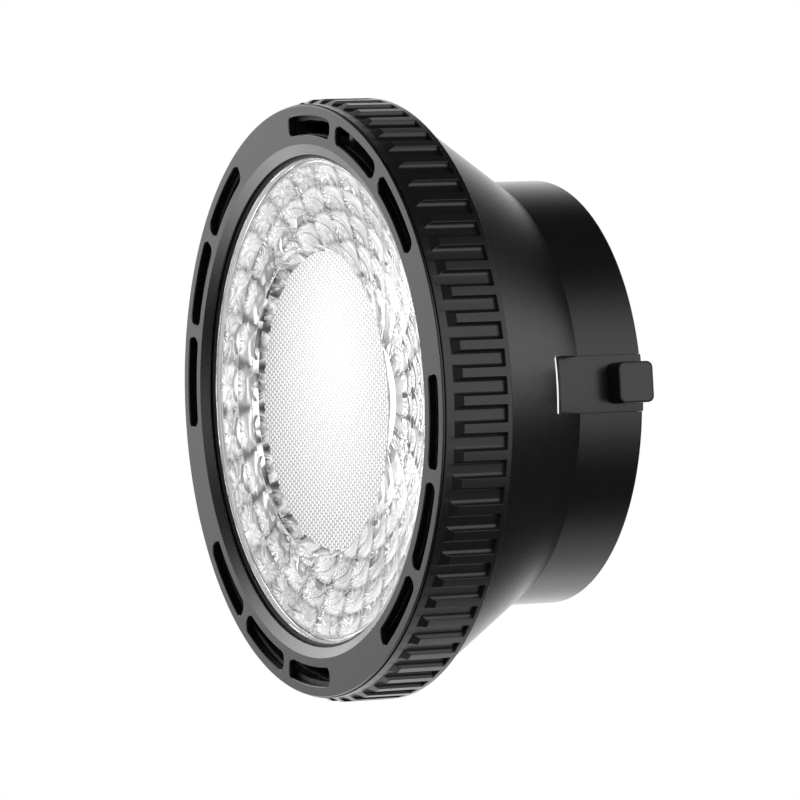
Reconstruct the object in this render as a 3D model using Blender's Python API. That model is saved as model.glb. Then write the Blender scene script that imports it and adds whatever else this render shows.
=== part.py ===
"""Detachable focusing lens head for a small studio light.

The optical axis is the Y axis and the lens faces -Y. The origin is the centre of the rear rim of
the barrel, where the head locks on the light, so the front face is at y = -BODY_LENGTH. +Z is up
and the latch is on the +X side. Turning the ribbed ring drives the lens carrier along the axis
through three pins, and the latch slides forward against a spring.
"""
from math import asin, atan2, cos, degrees, radians, sin, sqrt, tau

import bmesh
import bpy
from mathutils import Matrix, Vector

# Driving dimensions, in metres. Distances called "deep" are measured back from the front face.
GAP = 0.0003                 # between pieces that touch or slide
BODY_LENGTH = 0.048
BARREL_LENGTH = 0.013
BARREL_R = 0.03905
BARREL_WALL = 0.00205
CONE_WALL = 0.0018
CONE_INSET = 0.00025         # the cone's large end is this much smaller than the ring's band
CONE_STEP = 0.00035          # the cone's small end stands proud of the barrel by this

LENS_R = 0.0450
LENS_RIM = 0.0010            # width of the rim that the carrier's lip covers
LENS_FACE_DEEP = 0.0019
LENS_FLANGE = 0.0021         # thickness of the flange
LENS_DEPTH = 0.0256          # front of the lens to its rear end
LENS_TAIL_R = 0.0125
WELL_R = 0.0273
WELL_DEPTH = 0.0023
POCKET_R = 0.0100            # hollow behind the lens that goes over the lamp
POCKET_DEPTH = 0.0105
POCKET_TAPER = 0.0008
WELL_TAPER = 0.0002

CARRIER_WALL = 0.0013
CARRIER_LENGTH = 0.0109
LIP = 0.0006
GASKET = 0.0006
RETAINER_WIDTH = 0.0016
RETAINER_LENGTH = 0.0022

TUBE_WALL = 0.0013
TUBE_LENGTH = 0.0130
AIR_PASSAGE = 0.0027         # between the inner tube and the ring
CAM_DEPTH = 0.0018
RING_SKIN = 0.0014
RIB_HEIGHT = 0.0009
RIB_COUNT = 70
RIB_TOP = 0.0017
RIB_FLANK = 0.00035
RIB_RAMP = 0.00155
BAND_END_DEEP = 0.00215
RING_END_DEEP = 0.01335
RIM_WIDTH = 0.00095          # plain rim behind the ribs

FACE_PLATE = 0.0013
FACE_EDGE = 0.0003
FACE_CHAMFER = 0.0019
SLOT_WIDTH = 0.0035
SLOT_CORNER = 0.0014
SLOT_ANGLE = 19.2
SLOT_PITCH = 22.1
SLOTS_IN_GROUP = 3
GROUPS = 4
GROUP_TURN = 61.2            # angle of the first group's middle
FRAME_THICKNESS = 0.0018
HOOK_WIDTH = 0.0060
HOOK_THICKNESS = 0.0012
BARB = 0.0008
WASHER_THICKNESS = 0.0005
WAVE_HEIGHT = 0.0007
WAVES = 6

SCREW_R = 0.0007             # small frame screws
SCREW_HEAD_R = 0.0012
SCREW_HEAD = 0.0008
SCREW_LENGTH = 0.0060
BOSS_R = 0.0015

PIN_R = 0.0006
SLEEVE_R = 0.0014
PIN_DEEP = 0.0068
CAM_TRAVEL = 0.0045
CAM_TURN = 60.0
PIN_COUNT = 3
FIRST_PIN = 76.0

LUG_COUNT = 3
LUG_ANGLE = 40.0
FIRST_LUG = 60.0
LUG_R = 0.0310
BAYONET_R = 0.0352           # inside of the bayonet's sleeve
BAYONET_LENGTH = 0.0088
BAYONET_FLANGE = 0.0014
LUG_THICKNESS = 0.0018
SHOULDER_R = 0.0330
SHOULDER = 0.0020
BAYONET_SCREWS = (100.0, 140.0, 220.0, 260.0)
BAYONET_SCREW_R = 0.0006
BAYONET_HEAD_R = 0.00095

PAD_WIDTH = 0.0103
PAD_LENGTH = 0.0170
LATCH_TRAVEL = 0.0025
LATCH_SLACK = 0.0008         # left in front of the pad at the end of its travel
WING_WIDTH = 0.0150
WING_THICKNESS = 0.0020
WING_LENGTH = 0.0098
KNOB_WIDTH = 0.00745
KNOB_LENGTH = 0.0070
KNOB_HEIGHT = 0.0042
KNOB_CORNER = 0.0012
KNOB_ROOF = 0.0012           # left above the blind hole for its screw
GUIDE_WIDTH = 0.0210
GUIDE_FLOOR = 0.0014
GUIDE_LENGTH = 0.0128
GUIDE_END = 0.0010
GUIDE_INSET = 0.0012         # the guide ends this far inside the rear rim
TOOTH_WIDTH = 0.0040
TOOTH_LENGTH = 0.0022
TOOTH_REACH = 0.0032         # below the wings
SINK_DEPTH = 0.0012          # room for the tooth's root and the screw's head in the wings
SPRING_R = 0.00085
SPRING_WIRE_R = 0.00015
SPRING_TURNS = 6
SPRING_LENGTH = 0.0046

SEAT_DEPTH = 0.0011          # ledge in the cone that the slip washer rests on
BARREL_EDGE = 0.0005         # chamfer around the rear rim
WEB_COUNT = 8                # webs that centre the guide tube in the cone
WEB_THICKNESS = 0.0014
RETAINER_NOTCHES = 4
FIRST_NOTCH = 31.0
NOTCH_WIDTH = 0.0030
NOTCH_DEPTH = 0.0009
HOLE_GAP = 0.00025           # around a screw or a pin in its hole
SCREW_SLACK = 0.0007         # free depth beyond a screw's tip
SMALL_HEAD = 0.0007          # head height of the small rear screws
SMALL_LENGTH = 0.0036
KNOB_EDGE = 0.0003
SPRING_SIDES = 8             # points in each turn of the spring
WASHER_SHEET = 0.00025       # thickness of the wave washer's spring steel
LENS_DOME = 0.0022           # rise of the small lens in the pocket's floor
LENS_BOW = 0.72              # how strongly the lens flank bows

STEPS = 72                   # facets of the outer rounds
INNER_STEPS = 48
LENS_STEPS = 6               # facets along the lens flank
PAST = 0.001                 # how far a cutter runs past what it cuts
HAIR = 0.0001                # keeps two cuts from sharing a plane
MERGE = 0.000002             # closes the seam of a turned shape

# Radii and stations that follow from them.
FRONT = -BODY_LENGTH
CARRIER_R = LENS_R + GAP + CARRIER_WALL
TUBE_INNER_R = CARRIER_R + GAP
TUBE_R = TUBE_INNER_R + TUBE_WALL
CAM_BORE_R = TUBE_R + AIR_PASSAGE
CAM_FLOOR_R = CAM_BORE_R + CAM_DEPTH
BAND_R = CAM_FLOOR_R + RING_SKIN
RIB_R = BAND_R + RIB_HEIGHT
SLOT_MID_R = TUBE_R + GAP + SLOT_WIDTH / 2
FRAME_R = SLOT_MID_R + SLOT_WIDTH / 2 + HAIR
RING_BORE_R = FRAME_R + GAP
FACE_R = BAND_R - 2 * HAIR
FACE_BACK_R = FACE_R - 2 * FACE_EDGE - 4 * HAIR    # the face's edge tapers in behind the ring
FRAME_DEEP = FACE_PLATE + GAP
FRAME_BACK_DEEP = FRAME_DEEP + FRAME_THICKNESS
TUBE_DEEP = FRAME_BACK_DEEP + GAP
SHOULDER_DEEP = FRAME_BACK_DEEP + 2 * GAP + WAVE_HEIGHT + HAIR
CONE_DEEP = RING_END_DEEP + GAP
CONE_R = BAND_R - CONE_INSET
CONE_END_R = BARREL_R + CONE_STEP
BARREL_INNER_R = BARREL_R - BARREL_WALL
CONE_SLOPE = (CONE_R - CONE_END_R) / (BODY_LENGTH - BARREL_LENGTH - CONE_DEEP)
SLOT_HALF = PAD_WIDTH / 2 + GAP
PAD_FRONT = -PAD_LENGTH
NOTCH_FRONT = PAD_FRONT - LATCH_TRAVEL - LATCH_SLACK
GUIDE_FRONT = -GUIDE_LENGTH - GUIDE_INSET
GUIDE_BACK = GUIDE_FRONT + GUIDE_LENGTH
BAYONET_FRONT = GUIDE_FRONT
SHOULDER_BACK = BAYONET_FRONT - GAP
WING_TOP_R = BARREL_INNER_R - GAP
WING_R = WING_TOP_R - WING_THICKNESS
GUIDE_TOP_R = WING_R - GAP
GUIDE_R = GUIDE_TOP_R - GUIDE_FLOOR
WING_FRONT = GUIDE_FRONT + GUIDE_END + LATCH_TRAVEL + GAP
SPRING_MID_R = (WING_R + WING_TOP_R) / 2


def deep(distance):
    """The y of a plane this far behind the front face."""
    return FRONT + distance


def clear_scene():
    for obj in list(bpy.data.objects):
        bpy.data.objects.remove(obj, do_unlink=True)


def finish_material(name, colour, roughness, metallic=0.0, transmission=0.0):
    material = bpy.data.materials.new(name)
    material.use_nodes = True
    shader = material.node_tree.nodes["Principled BSDF"]
    shader.inputs["Base Color"].default_value = (*colour, 1.0)
    shader.inputs["Roughness"].default_value = roughness
    shader.inputs["Metallic"].default_value = metallic
    shader.inputs["Transmission Weight"].default_value = transmission
    return material


def place(name, bm):
    """Closes a bmesh into a scene object with its faces pointing out."""
    bmesh.ops.remove_doubles(bm, verts=bm.verts, dist=MERGE)
    bmesh.ops.recalc_face_normals(bm, faces=bm.faces)
    mesh = bpy.data.meshes.new(name)
    bm.to_mesh(mesh)
    bm.free()
    obj = bpy.data.objects.new(name, mesh)
    bpy.context.scene.collection.objects.link(obj)
    return obj


def finish(obj, material, origin=(0.0, 0.0, 0.0)):
    """Gives a piece its material, smooth rounds and its origin."""
    mesh = obj.data
    mesh.materials.clear()
    mesh.materials.append(material)
    mesh.shade_smooth()
    mesh.set_sharp_from_angle(angle=radians(30))
    shift = Vector(origin)
    mesh.transform(Matrix.Translation(-shift))
    obj.location = shift
    return obj


def combine(target, others, operation):
    """Applies one Boolean for each other object, which is used up."""
    for other in others:
        modifier = target.modifiers.new("combine", "BOOLEAN")
        modifier.operation = operation
        modifier.solver = "EXACT"
        modifier.object = other
        graph = bpy.context.evaluated_depsgraph_get()
        mesh = bpy.data.meshes.new_from_object(target.evaluated_get(graph))
        target.modifiers.clear()
        target.data = mesh
        bpy.data.objects.remove(other, do_unlink=True)
    return target


def cut(target, *cutters):
    return combine(target, cutters, "DIFFERENCE")


def join(target, *others):
    return combine(target, others, "UNION")


def keep(target, *others):
    return combine(target, others, "INTERSECT")


def revolve(name, outline, steps=INNER_STEPS, closed=True):
    """Turns an outline of (radius, y) points about the optical axis."""
    bm = bmesh.new()
    points = [bm.verts.new((r, y, 0.0)) for r, y in outline]
    pairs = list(zip(points, points[1:]))
    if closed:
        pairs.append((points[-1], points[0]))
    edges = [bm.edges.new(pair) for pair in pairs]
    bmesh.ops.spin(bm, geom=points + edges, cent=(0, 0, 0), axis=(0, 1, 0), angle=tau,
                   steps=steps, use_duplicate=False)
    return place(name, bm)


def hoop(name, inner, outer, front, back, steps=INNER_STEPS):
    outline = [(inner, front), (outer, front), (outer, back), (inner, back)]
    return revolve(name, outline, steps)


def sweep(name, outline, first, last, steps, rise=0.0):
    """Sweeps an outline of (radius, y) points from one angle to another, rising along the axis."""
    bm = bmesh.new()
    face = bm.faces.new([bm.verts.new((r, y, 0.0)) for r, y in outline])
    bmesh.ops.spin(bm, geom=[face], cent=(0, 0, 0), axis=(0, 1, 0), angle=-radians(last - first),
                   steps=steps, dvec=(0, rise / steps, 0), use_duplicate=False)
    bmesh.ops.rotate(bm, cent=(0, 0, 0), matrix=Matrix.Rotation(-radians(first), 3, "Y"), verts=bm.verts)
    return place(name, bm)


def block(name, low, high):
    bm = bmesh.new()
    bmesh.ops.create_cube(bm, size=1.0)
    size = [b - a for a, b in zip(low, high)]
    middle = [(a + b) / 2 for a, b in zip(low, high)]
    bmesh.ops.scale(bm, vec=size, verts=bm.verts)
    bmesh.ops.translate(bm, vec=middle, verts=bm.verts)
    return place(name, bm)


def rod(name, radius, start, end, segments=20):
    """A round rod between two points."""
    start, end = Vector(start), Vector(end)
    along = end - start
    turn = along.to_track_quat("Z", "Y").to_matrix().to_4x4()
    bm = bmesh.new()
    bmesh.ops.create_cone(bm, cap_ends=True, segments=segments, radius1=radius, radius2=radius,
                          depth=along.length, matrix=Matrix.Translation((start + end) / 2) @ turn)
    return place(name, bm)


def hole(radius, start, end, segments=12):
    """The cutter of a round hole that lets a shank of this radius through."""
    return rod("hole", radius + HOLE_GAP, start, end, segments)


def prism(name, outline, low, high):
    """Extrudes an outline of (x, z) points from y = low to y = high."""
    bm = bmesh.new()
    face = bm.faces.new([bm.verts.new((x, low, z)) for x, z in outline])
    extruded = bmesh.ops.extrude_face_region(bm, geom=[face])
    moved = [item for item in extruded["geom"] if isinstance(item, bmesh.types.BMVert)]
    bmesh.ops.translate(bm, vec=(0, high - low, 0), verts=moved)
    return place(name, bm)


def polar(radius, angle, y=0.0):
    """A point at an angle in degrees, counted from +X towards +Z."""
    return Vector((radius * cos(radians(angle)), y, radius * sin(radians(angle))))


def rounded_rectangle(length, width, corner, arc_points=3, side_points=1):
    """Outline points of a rectangle with round corners, centred on zero."""
    points = []
    for quarter in range(4):
        sign_u = (1, -1, -1, 1)[quarter]
        sign_v = (1, 1, -1, -1)[quarter]
        for step in range(arc_points + 1):
            angle = tau * (quarter + step / arc_points) / 4
            u = sign_u * (length / 2 - corner) + corner * cos(angle)
            v = sign_v * (width / 2 - corner) + corner * sin(angle)
            points.append((u, v))
        if quarter in (0, 2):
            u_end = -points[-1][0]
            for step in range(1, side_points):
                share = step / side_points
                points.append((points[-1 - (step - 1)][0] * (1 - share) + u_end * share, points[-1][1]))
    return points


def arc_slot(name, middle_r, width, corner, angle, turn, low, high, arc_points=3):
    """A cutter for a curved slot that follows a circle."""
    length = middle_r * radians(angle)
    flat = rounded_rectangle(length, width, corner, arc_points, side_points=4)
    outline = []
    for u, v in flat:
        point = polar(middle_r + v, turn + degrees(u / middle_r))
        outline.append((point.x, point.z))
    return prism(name, outline, low, high)


def slot_turns():
    """The middle angles of the vent slots, group by group."""
    turns = []
    for group_turn in group_turns():
        for place_in_group in range(SLOTS_IN_GROUP):
            turns.append(group_turn + (place_in_group - (SLOTS_IN_GROUP - 1) / 2) * SLOT_PITCH)
    return turns


def group_turns():
    return [GROUP_TURN + group * 360 / GROUPS for group in range(GROUPS)]


def gap_turns(offset=0.0):
    """The middle angles of the plain stretches between the groups."""
    return [turn + 180 / GROUPS + offset for turn in group_turns()]


def pin_turns():
    return [FIRST_PIN + index * 360 / PIN_COUNT for index in range(PIN_COUNT)]


def cone_r(y):
    """Outer radius of the cone at a station."""
    return CONE_R - (y - deep(CONE_DEEP)) * CONE_SLOPE


def front_bezel(material):
    edge_r = LENS_R - HAIR
    outline = [
        (edge_r, deep(FACE_PLATE - GAP)),
        (edge_r + FACE_CHAMFER, deep(0)),
        (FACE_R - FACE_EDGE / 2, deep(0)),
        (FACE_R, deep(FACE_EDGE / 2)),
        (FACE_R, deep(FACE_EDGE)),
        (FACE_BACK_R, deep(FACE_PLATE)),
        (edge_r, deep(FACE_PLATE)),
    ]
    bezel = revolve("front_bezel", outline, STEPS)
    for turn in slot_turns():
        cut(bezel, arc_slot("slot", SLOT_MID_R, SLOT_WIDTH, SLOT_CORNER, SLOT_ANGLE, turn,
                            deep(-PAST), deep(FACE_PLATE + PAST)))
    hook_r = hook_inner_r()
    barb_front = FRAME_BACK_DEEP + GAP
    outline = [
        (hook_r, deep(FACE_PLATE - 4 * HAIR)),
        (hook_r + HOOK_THICKNESS, deep(FACE_PLATE - 4 * HAIR)),
        (hook_r + HOOK_THICKNESS, deep(barb_front)),
        (hook_r + HOOK_THICKNESS + BARB, deep(barb_front)),
        (hook_r + HOOK_THICKNESS, deep(barb_front + BARB)),
        (hook_r, deep(barb_front + BARB)),
    ]
    half = degrees(HOOK_WIDTH / 2 / hook_r)
    for turn in gap_turns():
        join(bezel, sweep("hook", outline, turn - half, turn + half, 2))
    return finish(bezel, material)


def hook_inner_r():
    """Inner face of the bezel's hooks, clear of the tube in the housing."""
    return TUBE_R + 2 * GAP + 2 * HAIR


def arc_wall(name, inner, outer, first, last, front, back, steps=6):
    """A stretch of ring between two angles."""
    outline = []
    for step in range(steps + 1):
        outline.append(polar(outer, first + (last - first) * step / steps))
    for step in range(steps, -1, -1):
        outline.append(polar(inner, first + (last - first) * step / steps))
    return prism(name, [(p.x, p.z) for p in outline], front, back)


def front_frame(material):
    frame = hoop("front_frame", TUBE_INNER_R, FRAME_R, deep(FRAME_DEEP), deep(FRAME_BACK_DEEP))
    low, high = deep(FRAME_DEEP) - PAST, deep(FRAME_BACK_DEEP) + PAST
    span = (SLOTS_IN_GROUP - 1) * SLOT_PITCH + SLOT_ANGLE
    for turn in group_turns():
        cut(frame, arc_wall("window", TUBE_R + 5 * HAIR, FRAME_R - 9 * HAIR, turn - span / 2,
                            turn + span / 2, low, high, 10))
    hook_r = hook_inner_r()
    for turn in gap_turns():
        half = degrees((HOOK_WIDTH / 2 + GAP) / hook_r)
        cut(frame, arc_wall("window", hook_r - GAP, hook_r + HOOK_THICKNESS + GAP, turn - half,
                            turn + half, low, high))
    for turn in screw_turns():
        centre = polar(boss_mid_r(), turn)
        cut(frame, hole(SCREW_R, centre + Vector((0, low, 0)), centre + Vector((0, high, 0))),
            rod("sink", SCREW_HEAD_R + GAP, centre + Vector((0, low, 0)),
                centre + Vector((0, deep(FRAME_DEEP + SCREW_HEAD + GAP), 0)), 16))
    return finish(frame, material)


def boss_mid_r():
    return TUBE_R + BOSS_R - 7 * HAIR


def screw_turns():
    return gap_turns(8.4)


def screw(name, material, top, along, shank_r, head_r, head, length):
    """A pan screw with a hexagon socket, from the top of its head."""
    along = Vector(along).normalized()
    top = Vector(top)
    body = rod(name, head_r, top, top + along * head, 12)
    join(body, rod("shank", shank_r, top + along * head * 0.5, top + along * length, 8))
    cut(body, rod("socket", head_r * 0.5, top - along * head, top + along * head * 0.55, 6))
    return finish(body, material, top)


def frame_screws(material):
    for index, turn in enumerate(screw_turns(), 1):
        top = polar(boss_mid_r(), turn, deep(FRAME_DEEP) + HAIR)
        screw(f"frame_screw_{index}", material, top, (0, 1, 0), SCREW_R, SCREW_HEAD_R, SCREW_HEAD,
              SCREW_LENGTH)


def cam_groove(turn):
    """The cutter of one helical groove, long enough for its sleeve at both ends."""
    half = SLEEVE_R + GAP * 0.85
    low_r = CAM_BORE_R - PAST
    extra = degrees(half / low_r)
    extra_rise = CAM_TRAVEL * extra / CAM_TURN
    front = deep(PIN_DEEP) - half - extra_rise
    outline = [
        (low_r, front), (CAM_FLOOR_R, front), (CAM_FLOOR_R, front + 2 * half), (low_r, front + 2 * half),
    ]
    return sweep("groove", outline, turn - extra, turn + CAM_TURN + extra, 12,
                 CAM_TRAVEL + 2 * extra_rise)


def rib_pockets():
    """The cutter between the ribs: a collar whose inside follows the pockets."""
    pitch = tau / RIB_COUNT
    floor_r = BAND_R - HAIR
    outer_r = RIB_R + PAST
    half_top = RIB_TOP / 2 / RIB_R
    half_foot = half_top + RIB_FLANK / RIB_R
    profile = (
        (-half_top, RIB_R + 2 * HAIR), (half_top, RIB_R + 2 * HAIR), (half_foot, floor_r),
        (pitch - half_foot, floor_r),
    )
    low, high = deep(BAND_END_DEEP) + HAIR, deep(RING_END_DEEP - RIM_WIDTH)
    bm = bmesh.new()
    inner, outer = [], []
    for rib in range(RIB_COUNT):
        for angle, radius in profile:
            turn = degrees(rib * pitch + angle)
            inner.append(bm.verts.new(polar(radius, turn, low)))
            outer.append(bm.verts.new(polar(outer_r, turn, low)))
    count = len(inner)
    faces = []
    for index in range(count):
        after = (index + 1) % count
        faces.append(bm.faces.new((inner[index], inner[after], outer[after], outer[index])))
    extruded = bmesh.ops.extrude_face_region(bm, geom=faces)
    moved = [item for item in extruded["geom"] if isinstance(item, bmesh.types.BMVert)]
    bmesh.ops.translate(bm, vec=(0, high - low, 0), verts=moved)
    return place("pockets", bm)


def focus_ring(material):
    outline = [
        (BAND_R - HAIR, deep(FACE_EDGE + GAP)),
        (BAND_R, deep(FACE_EDGE + GAP) + HAIR),
        (BAND_R, deep(BAND_END_DEEP)),
        (RIB_R, deep(BAND_END_DEEP + RIB_RAMP)),
        (RIB_R, deep(RING_END_DEEP) - HAIR),
        (RIB_R - HAIR, deep(RING_END_DEEP)),
        (CAM_BORE_R, deep(RING_END_DEEP)),
        (CAM_BORE_R, deep(SHOULDER_DEEP)),
        (RING_BORE_R, deep(SHOULDER_DEEP)),
        (RING_BORE_R, deep(FACE_PLATE + GAP)),
        (FACE_BACK_R, deep(FACE_PLATE + GAP)),
    ]
    ring = revolve("focus_ring", outline, RIB_COUNT)
    for turn in pin_turns():
        cut(ring, cam_groove(turn))
    cut(ring, rib_pockets())
    return finish(ring, material)


def cone_wall_r(y):
    """Inner radius of the cone's wall at a station."""
    return cone_r(y) - CONE_WALL * sqrt(1 + CONE_SLOPE ** 2)


def cone_reach(radius):
    """Station at which the cone's wall has come in to a radius."""
    start = deep(CONE_DEEP)
    return start + (cone_wall_r(start) - radius) / CONE_SLOPE


def cone_housing(material):
    barrel_front = -BARREL_LENGTH
    shoulder_front = SHOULDER_BACK - SHOULDER
    ledge = deep(CONE_DEEP + SEAT_DEPTH)
    outline = [
        (CONE_R, deep(CONE_DEEP)),
        (CONE_END_R, barrel_front),
        (BARREL_R, barrel_front),
        (BARREL_R, -BARREL_EDGE),
        (BARREL_R - BARREL_EDGE, 0.0),
        (BARREL_INNER_R, 0.0),
        (BARREL_INNER_R, SHOULDER_BACK),
        (SHOULDER_R, SHOULDER_BACK),
        (SHOULDER_R, shoulder_front),
        (cone_wall_r(shoulder_front), shoulder_front),
        (cone_wall_r(ledge), ledge),
        (RING_BORE_R + GAP, ledge),
        (RING_BORE_R + GAP, deep(CONE_DEEP)),
    ]
    housing = revolve("cone_housing", outline, STEPS)
    cut(housing, block("latch_slot", (BARREL_INNER_R * 0.6, NOTCH_FRONT, -SLOT_HALF),
                       (CONE_R + PAST, PAST, SLOT_HALF)))
    for turn in BAYONET_SCREWS:
        centre = polar(bayonet_screw_r(), turn)
        cut(housing, hole(BAYONET_SCREW_R, centre + Vector((0, shoulder_front - PAST, 0)),
                          centre + Vector((0, SHOULDER_BACK + PAST, 0))))
    for side in (1, -1):
        turn = guide_screw_turn() * side
        cut(housing, hole(BAYONET_SCREW_R, polar(BARREL_INNER_R - PAST, turn, guide_screw_y()),
                          polar(BARREL_R - HOLE_GAP * 2, turn, guide_screw_y())))
    return finish(housing, material)


def guide_tube(material):
    """The tube that the lens carrier slides in, with its screw bosses, webs and pin tracks."""
    front = deep(TUBE_DEEP)
    back = min(deep(TUBE_DEEP + TUBE_LENGTH), cone_reach(TUBE_R + GAP))
    tube = hoop("guide_tube", TUBE_INNER_R, TUBE_R, front, back, STEPS)
    boss_back = cone_reach(boss_mid_r() + BOSS_R + 2 * GAP)
    for turn in screw_turns():
        centre = polar(boss_mid_r(), turn)
        boss = rod("boss", BOSS_R, centre + Vector((0, front + HAIR, 0)),
                   centre + Vector((0, boss_back, 0)), 16)
        join(tube, boss)
        cut(tube, hole(SCREW_R, centre + Vector((0, front - PAST, 0)),
                       centre + Vector((0, deep(FRAME_DEEP + SCREW_LENGTH) + SCREW_SLACK, 0))))
    web_front = deep(CONE_DEEP + SEAT_DEPTH) + 4 * HAIR
    web_back = back - 2 * HAIR
    web_r = cone_wall_r(web_back) - GAP
    for index in range(WEB_COUNT):
        web = block("web", (TUBE_INNER_R + WEB_THICKNESS / 3, web_front, -WEB_THICKNESS / 2),
                    (web_r, web_back, WEB_THICKNESS / 2))
        turn = gap_turns()[0] + index * 360 / WEB_COUNT
        web.data.transform(Matrix.Rotation(-radians(turn), 4, "Y"))
        join(tube, web)
    half = SLEEVE_R + GAP
    first, last = deep(PIN_DEEP), deep(PIN_DEEP + CAM_TRAVEL)
    track = rounded_rectangle(last - first + 2 * half, 2 * half, half * 0.98, arc_points=5)
    track = [(u + (first + last) / 2, v) for u, v in track]
    for turn in pin_turns():
        cut(tube, radial_slot("track", track, TUBE_INNER_R - PAST, TUBE_R + PAST, turn))
    return finish(tube, material)


def radial_slot(name, outline, inner, outer, turn):
    """Extrudes an outline of (y, tangential) points outwards at an angle."""
    bm = bmesh.new()
    face = bm.faces.new([bm.verts.new((inner, y, v)) for y, v in outline])
    extruded = bmesh.ops.extrude_face_region(bm, geom=[face])
    moved = [item for item in extruded["geom"] if isinstance(item, bmesh.types.BMVert)]
    bmesh.ops.translate(bm, vec=(outer - inner, 0, 0), verts=moved)
    bmesh.ops.rotate(bm, cent=(0, 0, 0), matrix=Matrix.Rotation(-radians(turn), 3, "Y"), verts=bm.verts)
    return place(name, bm)


def lens_carrier(material):
    front = LENS_FACE_DEEP - GAP
    outline = [
        (LENS_R - LENS_RIM + GAP, deep(front)),
        (CARRIER_R, deep(front)),
        (CARRIER_R, deep(front + CARRIER_LENGTH)),
        (LENS_R + GAP, deep(front + CARRIER_LENGTH)),
        (LENS_R + GAP, deep(front + LIP)),
        (LENS_R - LENS_RIM + GAP, deep(front + LIP)),
    ]
    carrier = revolve("lens_carrier", outline, INNER_STEPS)
    for turn in pin_turns():
        cut(carrier, hole(PIN_R, polar(LENS_R - PAST, turn, deep(PIN_DEEP)),
                          polar(CARRIER_R + PAST, turn, deep(PIN_DEEP))))
    return finish(carrier, material)


def flange_deep():
    """Front of the lens flange, behind the carrier's lip."""
    return LENS_FACE_DEEP + LIP


def lens_body_r(share):
    """Radius of the reflecting flank, from 0 behind the flange to 1 at the tail."""
    head = LENS_R - RETAINER_WIDTH - 2 * HAIR
    return LENS_TAIL_R + (head - LENS_TAIL_R) * (1 - share) ** LENS_BOW


def tir_lens(material):
    face_r = LENS_R - LENS_RIM
    tail = LENS_FACE_DEEP + LENS_DEPTH
    flange_back = flange_deep() + LENS_FLANGE
    outline = [
        (0.0, deep(LENS_FACE_DEEP + WELL_DEPTH)),
        (WELL_R, deep(LENS_FACE_DEEP + WELL_DEPTH)),
        (WELL_R + WELL_TAPER, deep(LENS_FACE_DEEP)),
        (face_r, deep(LENS_FACE_DEEP)),
        (face_r, deep(flange_deep())),
        (LENS_R, deep(flange_deep())),
        (LENS_R, deep(flange_back)),
    ]
    for step in range(LENS_STEPS):
        share = step / (LENS_STEPS - 1)
        outline.append((lens_body_r(share), deep(flange_back + share * (tail - flange_back))))
    floor = tail - POCKET_DEPTH
    outline += [
        (POCKET_R, deep(tail)),
        (POCKET_R - POCKET_TAPER, deep(floor)),
        (POCKET_R * 0.6, deep(floor + LENS_DOME * 0.7)),
        (0.0, deep(floor + LENS_DOME)),
    ]
    lens = revolve("tir_lens", outline, INNER_STEPS, closed=False)
    return finish(lens, material)


def gasket_deep():
    return flange_deep() + LENS_FLANGE + GAP


def retainer_deep():
    return gasket_deep() + GASKET + GAP


def lens_gasket(material):
    gasket = hoop("lens_gasket", LENS_R - RETAINER_WIDTH + HAIR, LENS_R, deep(gasket_deep()),
                  deep(gasket_deep() + GASKET))
    return finish(gasket, material)


def lens_retainer(material):
    front, back = deep(retainer_deep()), deep(retainer_deep() + RETAINER_LENGTH)
    inner = LENS_R - RETAINER_WIDTH
    retainer = hoop("lens_retainer", inner, LENS_R, front, back)
    for index in range(RETAINER_NOTCHES):
        notch = block("notch", (inner - PAST, back - NOTCH_DEPTH, -NOTCH_WIDTH / 2),
                      (inner + NOTCH_DEPTH, back + PAST, NOTCH_WIDTH / 2))
        turn = FIRST_NOTCH + index * 360 / RETAINER_NOTCHES
        notch.data.transform(Matrix.Rotation(-radians(turn), 4, "Y"))
        cut(retainer, notch)
    return finish(retainer, material)


def cam_followers(steel, polymer):
    for index, turn in enumerate(pin_turns(), 1):
        y = deep(PIN_DEEP)
        top_r = CAM_FLOOR_R - GAP
        pin = rod(f"cam_pin_{index}", PIN_R, polar(LENS_R + GAP + HAIR, turn, y), polar(top_r, turn, y), 14)
        finish(pin, steel, polar(CARRIER_R, turn, y))
        sleeve = rod(f"cam_sleeve_{index}", SLEEVE_R, polar(CARRIER_R + GAP, turn, y),
                     polar(top_r, turn, y), 20)
        cut(sleeve, hole(PIN_R, polar(CARRIER_R - PAST, turn, y), polar(top_r + PAST, turn, y), 14))
        finish(sleeve, polymer, polar(CARRIER_R, turn, y))


def drag_washer(material):
    """A wave washer: a thin ring that rises and falls along the axis."""
    swing = (WAVE_HEIGHT - WASHER_SHEET) / 2
    middle = deep(FRAME_BACK_DEEP + GAP) + WAVE_HEIGHT / 2
    washer = hoop("drag_washer", CAM_BORE_R + 2 * HAIR, FRAME_R, middle - WASHER_SHEET / 2,
                  middle + WASHER_SHEET / 2)
    for vertex in washer.data.vertices:
        angle = atan2(vertex.co.z, vertex.co.x)
        vertex.co.y += swing * sin(WAVES * angle)
    return finish(washer, material)


def slip_washer(material):
    front = deep(CONE_DEEP)
    washer = hoop("slip_washer", CAM_BORE_R + HAIR, RING_BORE_R, front, front + WASHER_THICKNESS)
    return finish(washer, material)


def bayonet_screw_r():
    return BAYONET_R - BAYONET_HEAD_R - GAP


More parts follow.
